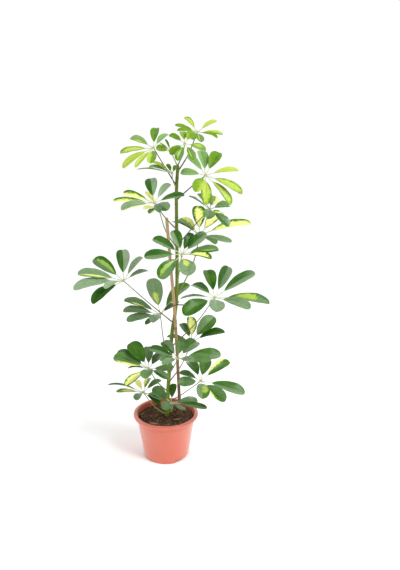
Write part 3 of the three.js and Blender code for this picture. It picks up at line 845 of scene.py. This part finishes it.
coating = Finish("black_coating", Roughness=0.45)
scuff = coating.grain(coating.place(), 900.0, 3.0)
coating.paint(
    Base_Color=coating.mix(scuff.step(0.5, 0.7), (0.012, 0.012, 0.013), (0.05, 0.05, 0.05)))
coating.bump(scuff, 0.0001)
dress(tie, coating)
smooth(tie, 60)
fit(tie, "wire", "wire_tie")


# ---------------------------------------------------------------- leaves
# Compound leaves: a long thin stalk from the stem, a small swollen hub, and three to ten
# leathery leaflets on short stalks of their own. Each leaflet is creased along its midrib,
# arched, splashed with yellow or lime where it lacks green, and greyed on some halves by
# painted sheen. Young leaves are yellower.
STALK_FOOT_RADIUS = 0.0020
STALK_TIP_RADIUS = 0.0012
HUB_RADIUS = 0.0031
LEAFLET_ROOT = 0.0018
LEAFLET_STALK = 0.23
LEAFLET_NECK = 0.0020
BLADE_THICKNESS = 0.0006
BLADE_FOLD = 22
FOLD_SPREAD = (0.7, 1.3)
BLADE_ARCHES = (0.04, 0.09)
BLADE_TWIST = 16
BLADE_RUFFLE = 0.017
BLADE_QUILT = 0.006
BLADE_SWAY = 0.018
BLADE_WIDEST = 0.64
BLADE_BASE_POWER = 0.75
BLADE_TIP_POWER = 0.42
TIP_SHARE = 0.975
BLADE_COLUMNS = 12
BLADE_ROWS = 34
LIGHT_SIDE = Vector((0.08, -0.42, 0.8))
VEIN_PAIRS = 9
VEIN_SLANT = 1.6
SPINE_POINTS = 14
STALK_STEPS = 40

# Where a leaflet's green is missing: middle across (-1 left edge, 1 right edge) and along
# the blade, half width and half length of the patch, its colour (0.3 pale green, 0.6 lime,
# 1 cream yellow), then how much painted sheen greys the green left and right of the midrib.
# The dull, grey and ash marks hold painted sheen alone.
NO_PATCH = (0, 0, 0.02, 0.02, 0.5)
MARKS = {
    "plain": (*NO_PATCH, 0, 0),
    "dull": (*NO_PATCH, 0.25, 0.25),
    "dull left": (*NO_PATCH, 0.6, 0.05),
    "dull right": (*NO_PATCH, 0.05, 0.6),
    "grey": (*NO_PATCH, 0.65, 0.65),
    "grey left": (*NO_PATCH, 0.8, 0.05),
    "grey right": (*NO_PATCH, 0.05, 0.8),
    "ash": (*NO_PATCH, 1, 1),
    "ash right": (*NO_PATCH, 0, 1.1),
    "grey hem": (-1, 0.55, 0.4, 0.5, 1.0, 0.8, 0.8),
    "grey band": (-0.45, 0.45, 0.3, 0.5, 0.9, 0.7, 0.7),
    "grey base": (-0.1, 0.25, 0.5, 0.28, 0.75, 0.7, 0.7),
    "pale": (0, 0.5, 3.0, 1.4, 0.3, 0, 0),
    "lime": (0, 0.5, 2.2, 1.0, 0.6, 0, 0),
    "lime heart": (0, 0.45, 0.85, 0.65, 0.66, 0, 0),
    "lime left": (-1, 0.5, 0.98, 0.75, 0.6, 0, 0),
    "lime right": (1, 0.5, 0.98, 0.75, 0.6, 0, 0),
    "lime spot": (-0.35, 0.45, 0.5, 0.28, 0.55, 0.1, 0.5),
    "lime streak": (0.2, 0.45, 0.3, 0.5, 0.45, 0.3, 0),
    "gold": (0, 0.5, 2.2, 1.0, 1.0, 0, 0),
    "gold base": (0, 0.35, 1.0, 0.45, 1.0, 0.6, 0.6),
    "heart": (0, 0.42, 0.74, 0.6, 1.0, 0, 0),
    "big heart": (0, 0.45, 0.95, 0.72, 1.0, 0, 0),
    "mostly left": (-0.6, 0.45, 1.15, 0.78, 1.0, 0, 0),
    "mostly right": (0.5, 0.55, 1.3, 0.9, 1.0, 0, 0),
    "left": (-1, 0.5, 0.98, 0.75, 1.0, 0, 0.4),
    "right": (1, 0.5, 0.98, 0.75, 1.0, 0.4, 0),
    "left edge": (-0.85, 0.42, 0.5, 0.5, 0.9, 0, 0),
    "left hem": (-1, 0.4, 0.6, 0.5, 1.0, 0.2, 0.2),
    "right hem": (1, 0.32, 0.5, 0.5, 1.0, 0.3, 0),
    "left spot": (-0.5, 0.5, 0.4, 0.26, 0.9, 0, 0.4),
}

# Leaves from the top of the stem down. hub: where the leaflets meet. joint: where the stalk
# leaves the stem. via: the stalk's middle. reach and wide: a full leaflet's length from the
# hub and its width, in millimetres. brown: how brown its stalk is, 0 green to 1. leaflets: the
# tip's sighting, its mark, its lean (1 away from the station, -1 towards it), then width share
# and roll.
LEAVES = {
    "top_right": {
        "hub": (197.4, 131.9, 45), "joint": (177.6, 172), "via": (188, 155, 20),
        "reach": 64, "wide": 18, "brown": 0.8,
        "leaflets": [
            (184, 117, "lime heart", 0.6), (217.3, 120.7, "lime", 0.5),
            (223.4, 135, "lime left", 0), (217.8, 138.5, "plain", -0.5),
            (174.4, 125, "plain", 0.2), (176.7, 131, "plain", -0.5),
            (192, 140, "plain", -0.7, 1.1), (201.2, 142.5, "lime streak", -0.7, 1.15),
        ],
    },
    "top_left": {
        "hub": (153.4, 147.8, -10), "joint": (176.5, 186), "via": (164.6, 166.5, -4),
        "reach": 90, "wide": 24, "brown": 1.0,
        "leaflets": [
            (129.9, 137.9, "lime spot", 0.4), (156.2, 127.7, "plain", 0.8),
            (167.9, 133.8, "pale", 0.6, 0.8), (119.2, 153.2, "lime heart", 0.2),
            (122, 168.7, "lime", -0.2), (134.7, 168, "lime", -0.6, 0.65),
            (150.8, 163.9, "lime right", -0.8),
        ],
    },
    "bud": {
        "hub": (171, 151.8, 50), "joint": (177.7, 167), "via": (174.5, 159.5, 24),
        "reach": 42, "wide": 14, "brown": 0.3,
        "leaflets": [
            (155.8, 147.2, "plain", 0, 1.3, -45), (165, 139, "plain", 0.5, 0.5),
            (159, 142.5, "plain", 0.4, 0.4),
        ],
    },
    "apex": {
        "hub": (184.9, 143.4, -45), "joint": (178, 165), "via": (182.6, 154.5, -25),
        "reach": 56, "wide": 22, "brown": 0.3,
        "leaflets": [
            (169, 134.7, "plain", 0.4, 0.8), (182.1, 131.4, "plain", 0.8, 0.8),
            (169.8, 154.8, "plain", -0.2), (177, 161.2, "lime streak", -0.7),
            (193.6, 160.7, "lime streak", -0.6), (206.1, 151.5, "lime spot", -0.2),
            (193.5, 131.5, "plain", 0.6),
        ],
    },
    "young": {
        "hub": (172, 173.1, -25), "joint": (176.5, 188), "via": (172.8, 180, -16),
        "reach": 45, "wide": 14, "brown": 0.3,
        "leaflets": [
            (166.1, 164.4, "plain", -0.2), (176.8, 165.9, "plain", -0.2),
            (148.3, 166.9, "pale", 0), (136.3, 169.5, "grey", 0, 0.6, 50),
            (152, 162, "lime", 0.3, 0.8),
        ],
    },
    "upper_right": {
        "hub": (205.7, 175.4, -45), "joint": (176.6, 200), "via": (191, 187, -22),
        "reach": 98, "wide": 30, "brown": 0.95,
        "leaflets": [
            (218.7, 151.9, "plain", 0.7), (200.1, 150.5, "pale", 0.8),
            (188.2, 156.1, "pale", 0.6, 0.7), (180.1, 172.3, "pale", 0.3, 0.7, -25),
            (239.4, 170.5, "lime", 0.4, 0.65), (242.9, 194.4, "lime heart", -0.1, 0.9),
            (231, 206, "lime heart", -0.2), (205.4, 205.6, "lime heart", -0.7),
            (194.8, 192.3, "lime left", -0.8),
        ],
    },
    "upper_left": {
        "hub": (154.2, 203, -62), "joint": (176.7, 229.5), "via": (166, 218.5, -33),
        "reach": 102, "wide": 31, "brown": 0.5,
        "leaflets": [
            (150.5, 178, "ash right", 0.7), (170.3, 183.5, "ash", 0.5, 0.65),
            (185.2, 195.3, "grey right", -0.1, 0.75), (168.3, 210.5, "dull left", -0.5),
            (122.4, 192.4, "mostly left", 0.4, 0.65), (112.2, 200.7, "mostly left", 0, 0.55),
            (120.1, 209.7, "grey hem", -0.3, 0.85), (160.3, 213, "dull", -0.7, 0.6),
        ],
    },
    "strap": {
        "hub": (158.5, 208, 48), "joint": (176.9, 248), "via": (166, 231.5, 22),
        "reach": 70, "wide": 20, "brown": 0.2,
        "leaflets": [
            (144.8, 191.5, "gold", 0.3, 0.7), (143, 209, "gold", -0.2), (149, 214, "left", -0.4),
        ],
    },
    "right_of_stem": {
        "hub": (209.6, 209.1, -30), "joint": (176.9, 246), "via": (194.3, 225.7, -16),
        "reach": 82, "wide": 31, "brown": 0.6,
        "leaflets": [
            (188.2, 196.1, "grey", 0.3, 0.6, 50), (213.8, 195.8, "right", 0.8),
            (229.6, 205.6, "lime streak", 0.5, 0.9), (229.4, 227, "dull left", -0.4, 0.85),
            (207.5, 219.5, "dull", -0.9), (197.3, 193.7, "grey", 0.6, 0.5),
        ],
    },
    "yellow": {
        "hub": (199.5, 235, 55), "joint": (176.7, 297), "via": (193.5, 262, 34),
        "reach": 134, "wide": 36, "brown": 0.6,
        "leaflets": [
            (198, 205.3, "heart", 0.4), (222.2, 211.9, "big heart", 0.4),
            (252.4, 223.5, "mostly right", 0.1, 0.9), (232.7, 241.8, "grey", -0.3, 0.45, 30),
            (179.7, 218.2, "right", 0.4, 0.8), (172.5, 222, "dull", 0.6, 0.8),
            (216.4, 244.5, "dull", -0.3, 0.75),
        ],
    },
    "front": {
        "hub": (181.9, 254.5, -80), "joint": (176.6, 288), "via": (179.5, 270, -42),
        "reach": 100, "wide": 41, "brown": 0.4,
        "leaflets": [
            (152.1, 238.4, "dull left", 0.3, 0.7), (172.9, 229.9, "grey left", 0.2, 0.75),
            (192.3, 232.7, "plain", 0.2, 0.6), (206.7, 232.7, "grey right", 0.2, 0.7),
            (219.6, 249.8, "lime streak", 0, 0.7), (212.4, 258.9, "heart", -0.4, 0.6),
            (188.6, 276.5, "grey base", -0.7, 1.05), (158.8, 279.1, "lime streak", -0.4, 0.9),
            (143.3, 256.9, "dull left", 0, 0.75),
        ],
    },
    "far_left": {
        "hub": (123.5, 280.8, -50), "joint": (173.5, 323), "via": (148, 302.2, -22),
        "reach": 132, "wide": 42, "brown": 0.75,
        "leaflets": [
            (93.2, 258.5, "lime streak", 0.4, 0.85), (122.2, 249.2, "ash right", 0.7, 0.85),
            (142.3, 256.5, "ash", 0.6, 0.45), (149, 270.9, "grey", 0.5, 0.5),
            (76.5, 273.2, "grey band", 0.2, 0.7), (72.1, 289.4, "ash", -0.1, 0.85),
            (91.9, 304.7, "plain", -0.4, 0.9), (104.6, 289.1, "ash", -0.7, 0.55),
        ],
    },
    "left_of_stem": {
        "hub": (160.3, 314.2, 60), "joint": (168.8, 378), "via": (163.4, 340, 34),
        "reach": 112, "wide": 44, "brown": 0.6,
        "leaflets": [
            (151, 277.7, "grey base", 0.3), (123, 300, "left spot", 0.2, 0.8),
            (122.1, 311.3, "grey", -0.1, 0.7), (125.8, 321.1, "grey", -0.3, 0.65),
            (152.8, 323.1, "grey", -0.7, 0.75), (145.1, 324.8, "dull", -0.5, 0.35),
            (190.4, 284, "dull right", 0.4, 0.95), (177, 304, "plain", 0.6, 0.5),
        ],
    },
    "far_right": {
        "hub": (214.8, 297.7, -50), "joint": (171.3, 347), "via": (196, 323, -22),
        "reach": 143, "wide": 42, "brown": 0.6,
        "leaflets": [
            (206.7, 269.7, "plain", 0.5, 0.85), (228.7, 266.1, "dull right", 0.6, 0.8),
            (255.8, 272, "grey right", 0.3, 0.75), (270.9, 303.9, "lime spot", 0, 0.9),
            (251.4, 308.7, "grey", -0.4, 0.75), (216.2, 312.5, "grey", -0.8, 0.95),
            (182.5, 315.2, "plain", -0.4), (191.6, 284.5, "dull left", 0.4, 0.75),
            (179.5, 299.2, "grey", -0.1, 0.55, 60),
        ],
    },
    "behind": {
        "hub": (191.8, 341.5, 70), "joint": (168.6, 383), "via": (181.5, 364.9, 34),
        "reach": 100, "wide": 38, "brown": 0.6,
        "leaflets": [
            (180.6, 323.2, "dull", 0.4, 0.7), (190, 316.1, "big heart", 0.4, 0.8),
            (215, 316.3, "dull left", 0.3, 1.1), (225.8, 332.1, "plain", 0, 0.9),
            (166.3, 336.8, "dull", 0.2, 0.6), (176, 341.5, "dull", -0.1, 0.5),
        ],
    },
    "over_cane": {
        "hub": (178.1, 358.6, -82), "joint": (169.4, 374), "via": (173.6, 367, -40),
        "reach": 114, "wide": 38, "brown": 0.5,
        "leaflets": [
            (162.4, 341.4, "dull right", 0.4, 0.75), (180.3, 340.7, "dull", 0.2, 0.6),
            (197.2, 341.1, "dull right", 0.5), (221.9, 354.8, "dull right", 0.1),
            (211.9, 359.6, "dull", -0.3, 0.8), (194, 361.8, "grey", -0.6, 0.6),
            (148.8, 348.2, "dull left", 0.3, 0.65), (159.1, 360.3, "dull", -0.3, 0.55),
            (161.5, 364.5, "grey", -0.6, 0.5),
        ],
    },
    "lower_left": {
        "hub": (148.8, 368.9, -52), "joint": (168.2, 392), "via": (157, 381.5, -30),
        "reach": 102, "wide": 44, "brown": 0.5,
        "leaflets": [
            (129.3, 342.7, "plain", 0.3), (112.6, 357.1, "left hem", 0.1, 0.95),
            (116.6, 351.6, "dull", 0.5, 0.7), (127.3, 368.5, "plain", 0, 0.4, 60),
            (147.6, 346.2, "dull", 0.6, 0.6), (162.6, 353.4, "dull", 0.5, 0.6),
            (174.1, 366.3, "dull", -0.25, 0.4, 50), (168.3, 379.2, "dull left", -0.4, 0.5),
            (145.4, 379, "dull", -0.8, 0.75), (124.6, 385.8, "big heart", -0.3, 0.55),
        ],
    },
    "lower_right": {
        "hub": (201, 380.9, -62), "joint": (167.9, 402), "via": (182.5, 394, -36),
        "reach": 122, "wide": 40, "brown": 0.7,
        "leaflets": [
            (188.3, 361.8, "plain", 0.6, 0.8), (205.5, 359.1, "plain", 0.7, 0.9),
            (229.8, 360.8, "left edge", 0.4, 0.75), (245.7, 394, "dull right", 0, 0.95),
            (225.3, 402.3, "right hem", -0.3, 0.95), (202, 399.4, "lime spot", -0.7, 0.9),
            (178.1, 383.8, "dull", -0.3, 0.8), (179, 372.6, "dull", 0.1, 0.6),
        ],
    },
    "low_left": {
        "hub": (143.3, 392.4, 10), "joint": (167, 415), "via": (154.5, 406.5, 2),
        "reach": 96, "wide": 28, "brown": 0.1,
        "leaflets": [
            (136.7, 380.3, "gold", 0.5, 0.6), (150.2, 377.8, "left", 0.6, 0.7),
            (160.9, 379.5, "plain", 0.6, 0.7), (107.2, 384.8, "dull", 0.1, 0.5, 25),
            (115.6, 391.7, "gold base", -0.1, 0.6, 0), (136.7, 400.6, "dull", -0.7, 0.85),
            (162, 399, "grey", 0, 0.8), (159.7, 404.2, "plain", -0.1, 0.7),
        ],
    },
    "low_front": {
        "hub": (171.2, 402.5, -55), "joint": (167.4, 413), "via": (172.6, 409, -28),
        "reach": 98, "wide": 34, "brown": 0.1,
        "leaflets": [
            (151.7, 388.4, "dull", -0.1), (174.1, 383.2, "plain", 0.3, 0.6),
            (163.4, 410, "dull", -0.7), (186.4, 409, "grey", -0.5, 0.3, 50),
            (198.2, 400.7, "grey", 0.2, 0.65), (207.9, 408.2, "dull right", -0.1, 0.55),
        ],
    },
}


def random_run(seed):
    """A repeatable run of random numbers between 0 and 1."""
    state = seed
    while True:
        state = (state * 1664525 + 1013904223) % 4294967296
        yield state / 4294967296


def tip_for(hub, across, down, lean, reach):
    """A leaflet's tip: on its sight line, as far from the hub as reach and lean allow."""
    ray = sight_ray(across, down).normalized()
    beside = STATION + ray * ray.dot(hub - STATION)
    spare = max(reach ** 2 - (beside - hub).length_squared, 0)
    return beside + ray * (lean * math.sqrt(spare))


def blade_share(along):
    """Share of full width along a blade: a wedge base, widest past the middle, a blunt tip."""
    full = BLADE_WIDEST ** BLADE_BASE_POWER * (1 - BLADE_WIDEST) ** BLADE_TIP_POWER
    return along ** BLADE_BASE_POWER * (1 - along) ** BLADE_TIP_POWER / full


def blank_spot(corner):
    """Where a grid corner lies on the blade: closer together near the midrib and the tip."""
    across = math.copysign(abs(corner.x) ** 1.25, corner.x)
    return across, 1 - (1 - (corner.y + 1) / 2) ** 1.45


# The blank: one flat leaflet blade, a grid drawn in to the outline, with its own UV map.
deselect_all()
bpy.ops.mesh.primitive_grid_add(
    x_subdivisions=BLADE_COLUMNS, y_subdivisions=BLADE_ROWS, size=2, location=(0, 0, 0))
blank = bpy.context.object
blank.name = "leaflet_blank"
uv_map = blank.data.uv_layers[0]
uv_map.name = "blade"
for loop_corner in blank.data.loops:
    across, along = blank_spot(blank.data.vertices[loop_corner.vertex_index].co)
    uv_map.data[loop_corner.index].uv = (across / 2 + 0.5, along)
for vertex in blank.data.vertices:
    across, along = blank_spot(vertex.co)
    vertex.co = (across * blade_share(along), along, across)
bpy.ops.object.mode_set(mode="EDIT")
bpy.ops.mesh.select_all(action="SELECT")
bpy.ops.mesh.remove_doubles(threshold=1e-5)
bpy.ops.object.mode_set(mode="OBJECT")
blank_places = numpy.empty(len(blank.data.vertices) * 3)
blank.data.vertices.foreach_get("co", blank_places)
blank_places = blank_places.reshape(-1, 3)


def arched(place):
    """Share of the arch along a leaflet, fuller towards its tip."""
    return 4 * place * (1 - place) * (0.7 + 0.6 * place)


def laid_out(root, axes, *distances):
    """Points from a root, by their distances along each of three axes."""
    points = numpy.outer(numpy.ones(len(distances[0])), root)
    for axis, distance in zip(axes, distances):
        points = points + numpy.outer(distance, axis)
    return points


def bent_blade(root, along, across, face, length, width, arch, fold, chance):
    """A copy of the blank, laid from root along its chord, creased, arched and waved."""
    blade = copy_of(blank)
    _, share, edge = blank_places.T
    place = LEAFLET_STALK + (1 - LEAFLET_STALK) * share
    neck = LEAFLET_NECK / 2
    half = numpy.maximum(blade_share(share) * width / 2, neck * (1 - share) ** 0.3)
    lift = arch * length * arched(place)
    fullness = half / (width / 2)
    wave_phase = [next(chance) * 2 * math.pi for _ in range(2)]
    side = numpy.abs(edge)
    wave = numpy.sin(share * 11 + wave_phase[0] + 2.0 * numpy.sign(edge))
    wave = wave + 0.6 * numpy.sin(share * 19 + wave_phase[1] + edge)
    ruffle = BLADE_RUFFLE * width * wave * side ** 2 * fullness
    quilt = numpy.sin(2 * math.pi * (share * VEIN_PAIRS - side * VEIN_SLANT))
    quilt = BLADE_QUILT * width * quilt * side * (1 - side) * 2 * fullness
    crease = half * math.sin(fold) * (1.25 * side - 0.32 * side ** 2)
    centre = crease + lift + ruffle + quilt
    sway = BLADE_SWAY * length * math.sin(wave_phase[0]) * numpy.sin(math.pi * share)
    sideways = edge * half * math.cos(fold) + sway
    points = laid_out(root, (along, across, face), length * place, sideways, centre)
    blade.data.vertices.foreach_set("co", points.ravel())
    spine_place = numpy.linspace(0, 0.97, SPINE_POINTS)
    spine_share = numpy.clip((spine_place - LEAFLET_STALK) / (1 - LEAFLET_STALK), 0, 1)
    spine_lift = arch * length * arched(spine_place)
    spine_sway = BLADE_SWAY * length * math.sin(wave_phase[0]) * numpy.sin(math.pi * spine_share)
    thick = numpy.where(spine_place < LEAFLET_STALK, LEAFLET_NECK / 2, LEAFLET_NECK / 2.6)
    thick = thick * numpy.clip(1.05 - spine_share, 0.12, 1)
    sink = numpy.where(spine_place < LEAFLET_STALK, 0, thick * 0.55 + BLADE_THICKNESS / 2)
    spine = laid_out(
        root, (along, across, face), length * spine_place, spine_sway, spine_lift - sink)
    return blade, [Vector(point) for point in spine], list(thick)


def set_vector(piece, name, *value):
    """The same three numbers at every corner of a piece."""
    set_vectors(piece, name, value * len(piece.data.vertices))


def grow_leaf(name, leaf, seed, upper_face, under_face):
    """One compound leaf as a single mesh: blades, leaflet stalks, hub and long stalk."""
    chance = random_run(seed)
    finer_chance = random_run(seed + 500)
    hub = sighted(*leaf["hub"])
    joint = sighted(*leaf["joint"])
    via = sighted(*leaf["via"])
    rise = (LIGHT_SIDE + (hub - via).normalized() * 0.3).normalized()
    reach, width = leaf["reach"] / 1000, leaf["wide"] / 1000
    blades = []
    runs = []
    for across, down, mark, lean, *rest in leaf["leaflets"]:
        share = rest[0] if rest else 1
        roll = rest[1] if len(rest) > 1 else 0
        tip = tip_for(hub, across, down, lean, reach)
        along = (tip - hub).normalized()
        face = (rise - along * rise.dot(along)).normalized()
        turn = math.radians(roll + BLADE_TWIST * (next(chance) - 0.5))
        face = face * math.cos(turn) + along.cross(face) * math.sin(turn)
        arch = part_way(BLADE_ARCHES, next(chance))
        fold = math.radians(BLADE_FOLD * part_way(FOLD_SPREAD, next(chance)))
        root = hub + along * LEAFLET_ROOT
        length = ((tip - hub).length - LEAFLET_ROOT) * TIP_SHARE
        blade, spine, thick = bent_blade(
            root, along, along.cross(face), face, length, width * share, arch, fold,
            finer_chance)
        # The last two numbers of a mark are painted sheen, carried to the finish in an attribute of
        # their own.
        middle_x, middle_y, size_x, size_y, warmth, painted_sheen_left, painted_sheen_right = MARKS[mark]
        set_vector(blade, "mark_place", middle_x, middle_y, next(finer_chance))
        set_vector(blade, "mark_size", size_x, size_y, warmth)
        set_vector(blade, "bloom", painted_sheen_left, painted_sheen_right, next(finer_chance))
        blades.append(blade)
        runs.append((spine, thick))
    foliage = join(name, *blades)
    thicken = foliage.modifiers.new("thicken", "SOLIDIFY")
    thicken.thickness = BLADE_THICKNESS
    thicken.offset = 0
    thicken.material_offset = 1
    thicken.material_offset_rim = 1
    apply_modifiers(foliage)

    route = smooth_route([joint, via, hub], STALK_STEPS)
    radii = [
        part_way((STALK_TIP_RADIUS, STALK_FOOT_RADIUS), (1 - step / STALK_STEPS) ** 2)
        for step in range(STALK_STEPS + 1)
    ]
    stalk = rods(name + "_stalk", [(route, radii)], roundness=1)
    small_stalks = rods(name + "_small_stalks", runs, roundness=1)
    deselect_all()
    bpy.ops.mesh.primitive_uv_sphere_add(
        segments=14, ring_count=9, radius=HUB_RADIUS, location=hub)
    knob = bpy.context.object
    bpy.ops.object.transform_apply(location=True, rotation=False, scale=False)
    for woody, brown, small in (
        (stalk, leaf["brown"], 0), (small_stalks, 0, 1), (knob, leaf["brown"] * 0.2, 0.2),
    ):
        dress(woody, petiole)
        for layer in list(woody.data.uv_layers):
            woody.data.uv_layers.remove(layer)
        set_vector(woody, "growth", brown, small, 0)
    dress(foliage, upper_face, under_face)
    whole = join(name, foliage, stalk, small_stalks, knob)
    smooth(whole, 60)
    return whole


# Greens of a leaf face from its deepest to its palest, and the grey green of its painted
# sheen, a reflection of the bright studio painted into the colour.
YOUNG_GREENS = ((0.06, 0.155, 0.003), (0.11, 0.23, 0.006), (0.19, 0.32, 0.02))
PAINTED_SHEEN_GREEN = (0.22, 0.32, 0.18)
GROWN_GREENS = ((0.010, 0.066, 0.002), (0.032, 0.115, 0.005), (0.070, 0.170, 0.018))


def blade_colour(finish, greens, softness, faces_up):
    """Leaf colour from the blade's own map: veins, growth tints, pale marks and painted sheen."""
    uv = finish.node("ShaderNodeUVMap", {"uv_map": "blade"})
    u, along, _ = finish.parts_of(uv)
    across = u * 2 - 1
    side = abs(across)
    middle_x, middle_y, seed = finish.parts_of(finish.attribute("mark_place"))
    size_x, size_y, warmth = finish.parts_of(finish.attribute("mark_size"))
    painted_sheen_left, painted_sheen_right, tint_seed = finish.parts_of(finish.attribute("bloom"))
    slant = along - side * 0.16
    blotch = finish.grain(finish.vector(across * 1.4, slant * 7, seed * 40), 1.3, 4.0, 0.6)
    fine = finish.grain(finish.vector(across * 5, slant * 26, seed * 40), 1.0, 3.0)
    cloud = finish.grain(finish.vector(across * 0.8, along * 2.2, tint_seed * 40), 1.0, 3.0)

    depth = tint_seed * 0.55 + cloud.step(0.3, 0.7) * 0.45
    green = finish.ramp(depth, list(zip((0.08, 0.5, 0.95), greens)))
    green = finish.mix(blotch.step(0.60, 0.78) * 0.25, green, greens[2])
    # Painted sheen: a grey green laid over one or both halves of the blade, standing in for the
    # bright studio's reflection.
    on_right = (across + (blotch - 0.5) * 0.12).step(-0.05, 0.05)
    bloom = painted_sheen_left + (painted_sheen_right - painted_sheen_left) * on_right
    green = finish.mix(bloom * blotch.step(0.3, 0.6, 0.7, 1.0), green, PAINTED_SHEEN_GREEN)

    reach_x = (across - middle_x) / size_x
    reach_y = (along - middle_y) / size_y
    distance = (reach_x * reach_x + reach_y * reach_y).root()
    field = 1 - distance + (blotch - 0.5) * 1.3 + (fine - 0.5) * 0.35
    fringe = finish.ramp(warmth, [
        (0.3, (0.14, 0.28, 0.05)), (0.6, (0.24, 0.39, 0.02)), (1.0, (0.30, 0.44, 0.05)),
    ])
    patch = finish.ramp(warmth, [
        (0.3, (0.18, 0.33, 0.10)), (0.6, (0.37, 0.48, 0.06)), (1.0, (0.76, 0.76, 0.26)),
    ])
    marked = finish.mix(field.step(-0.08 - softness, 0.12 + softness), green, fringe)
    marked = finish.mix(field.step(0.16 - softness, 0.36 + softness), marked, patch)
    marked = finish.mix(fine.step(0.45, 0.75) * 0.22, marked, green)

    midrib = side.step(0.0, 0.045, 1.0, 0.0)
    veins = (along * VEIN_PAIRS - side * VEIN_SLANT).fraction()
    veins = abs(veins - 0.5).step(0.0, 0.12, 1.0, 0.0) * side.step(0.02, 0.95, 1.0, 0.0)
    ribbed = finish.mix(midrib * 0.45, marked, (0.30, 0.44, 0.12))
    ribbed = finish.mix(veins * 0.07, ribbed, (0.30, 0.44, 0.12))
    if faces_up:
        finish.paint(
            Base_Color=ribbed, Roughness=cloud.step(0.3, 0.7, 0.26, 0.38),
            Coat_Weight=0.06 + bloom * 0.3)
    else:
        finish.paint(Base_Color=finish.mix(0.42, ribbed, (0.24, 0.36, 0.15)))
    finish.bump(veins * -0.1 + midrib * -0.7 + fine * 0.12 + blotch * 0.3, 0.0005, 0.6)


blade_finishes = {}
for growth, greens, softness, gloss in (
    ("young", YOUNG_GREENS, 0.16, 0.12),
    ("grown", GROWN_GREENS, 0.03, 0.14),
):
    upper_face = Finish(
        growth + "_leaf_upper_face", Specular_IOR_Level=gloss, Coat_Roughness=0.22)
    blade_colour(upper_face, greens, softness, True)
    under_face = Finish(growth + "_leaf_under_face", Roughness=0.6, Specular_IOR_Level=gloss / 2)
    blade_colour(under_face, greens, softness, False)
    blade_finishes[growth] = (upper_face, under_face)

petiole = Finish("leaf_stalk", Roughness=0.5, Specular_IOR_Level=0.3)
shading = petiole.grain(petiole.place(), 120.0, 3.0)
tint, small, _ = petiole.parts_of(petiole.attribute("growth"))
green_stalk = petiole.mix(shading, (0.22, 0.30, 0.07), (0.34, 0.40, 0.14))
brown_stalk = petiole.mix(shading, (0.040, 0.036, 0.020), (0.09, 0.080, 0.042))
long_stalk = petiole.mix(tint, green_stalk, brown_stalk)
small_stalk = petiole.mix(shading, (0.36, 0.42, 0.22), (0.54, 0.57, 0.38))
petiole.paint(Base_Color=petiole.mix(small, long_stalk, small_stalk))
petiole.bump(shading, 0.0003)

YOUNG_LEAVES = ("top_right", "top_left", "bud", "apex", "young", "upper_right")
for number, (name, leaf) in enumerate(LEAVES.items()):
    young = name in YOUNG_LEAVES
    growth = "young" if young else "grown"
    slot_name = "leaf_young" if young else "leaf_old"
    whole_leaf = grow_leaf("foliage_" + name, leaf, 101 + number, *blade_finishes[growth])
    fit(whole_leaf, slot_name, "leaf_" + name)
bpy.data.objects.remove(blank)


# ---------------------------------------------------------------- floor and light
# A plain pale floor in a white studio. A dim hood in front of the plant and above it keeps
# the faces turned that way deep in colour, and the key light stands at the upper right.
HOOD_DIM = 0.62
LAMPS = (((1.5, -1.3, 2.4), 1.2, 70), ((-1.8, -0.8, 1.6), 1.4, 10))


class Sky(Finish):
    """A world built from nodes round its Background shader."""

    def __init__(self, name):
        self.material = bpy.data.worlds.new(name)
        self.material.use_nodes = True
        self.tree = self.material.node_tree
        self.shader = self.tree.nodes["Background"]


deselect_all()
bpy.ops.mesh.primitive_circle_add(
    vertices=96, radius=1.6, fill_type="NGON", location=(0, 0, -0.0002))
floor = bpy.context.object
floor.name = "studio_floor"
paper = Finish(
    "pale_floor", Roughness=0.9, Base_Color=(0.98, 0.98, 0.98, 1), Specular_IOR_Level=0.0)
dress(floor, paper)

studio = Sky("studio")
_, depth, rise = studio.parts_of(studio.node("ShaderNodeTexCoord", output="Generated"))
hood = depth.step(-0.6, 0.15, 1.0, 0.0) * rise.step(0.14, 0.5)
studio.paint(Color=(1.0, 1.0, 1.0), Strength=1.04 - hood * HOOD_DIM)
bpy.context.scene.world = studio.material

for place, size, power in LAMPS:
    bpy.ops.object.light_add(type="AREA", location=place)
    lamp = bpy.context.object
    lamp.data.size = size
    lamp.data.energy = power
    aim = Vector((0, 0, 0.45)) - Vector(place)
    lamp.rotation_euler = aim.to_track_quat("-Z", "Y").to_euler()

bpy.context.scene.view_settings.view_transform = "Standard"
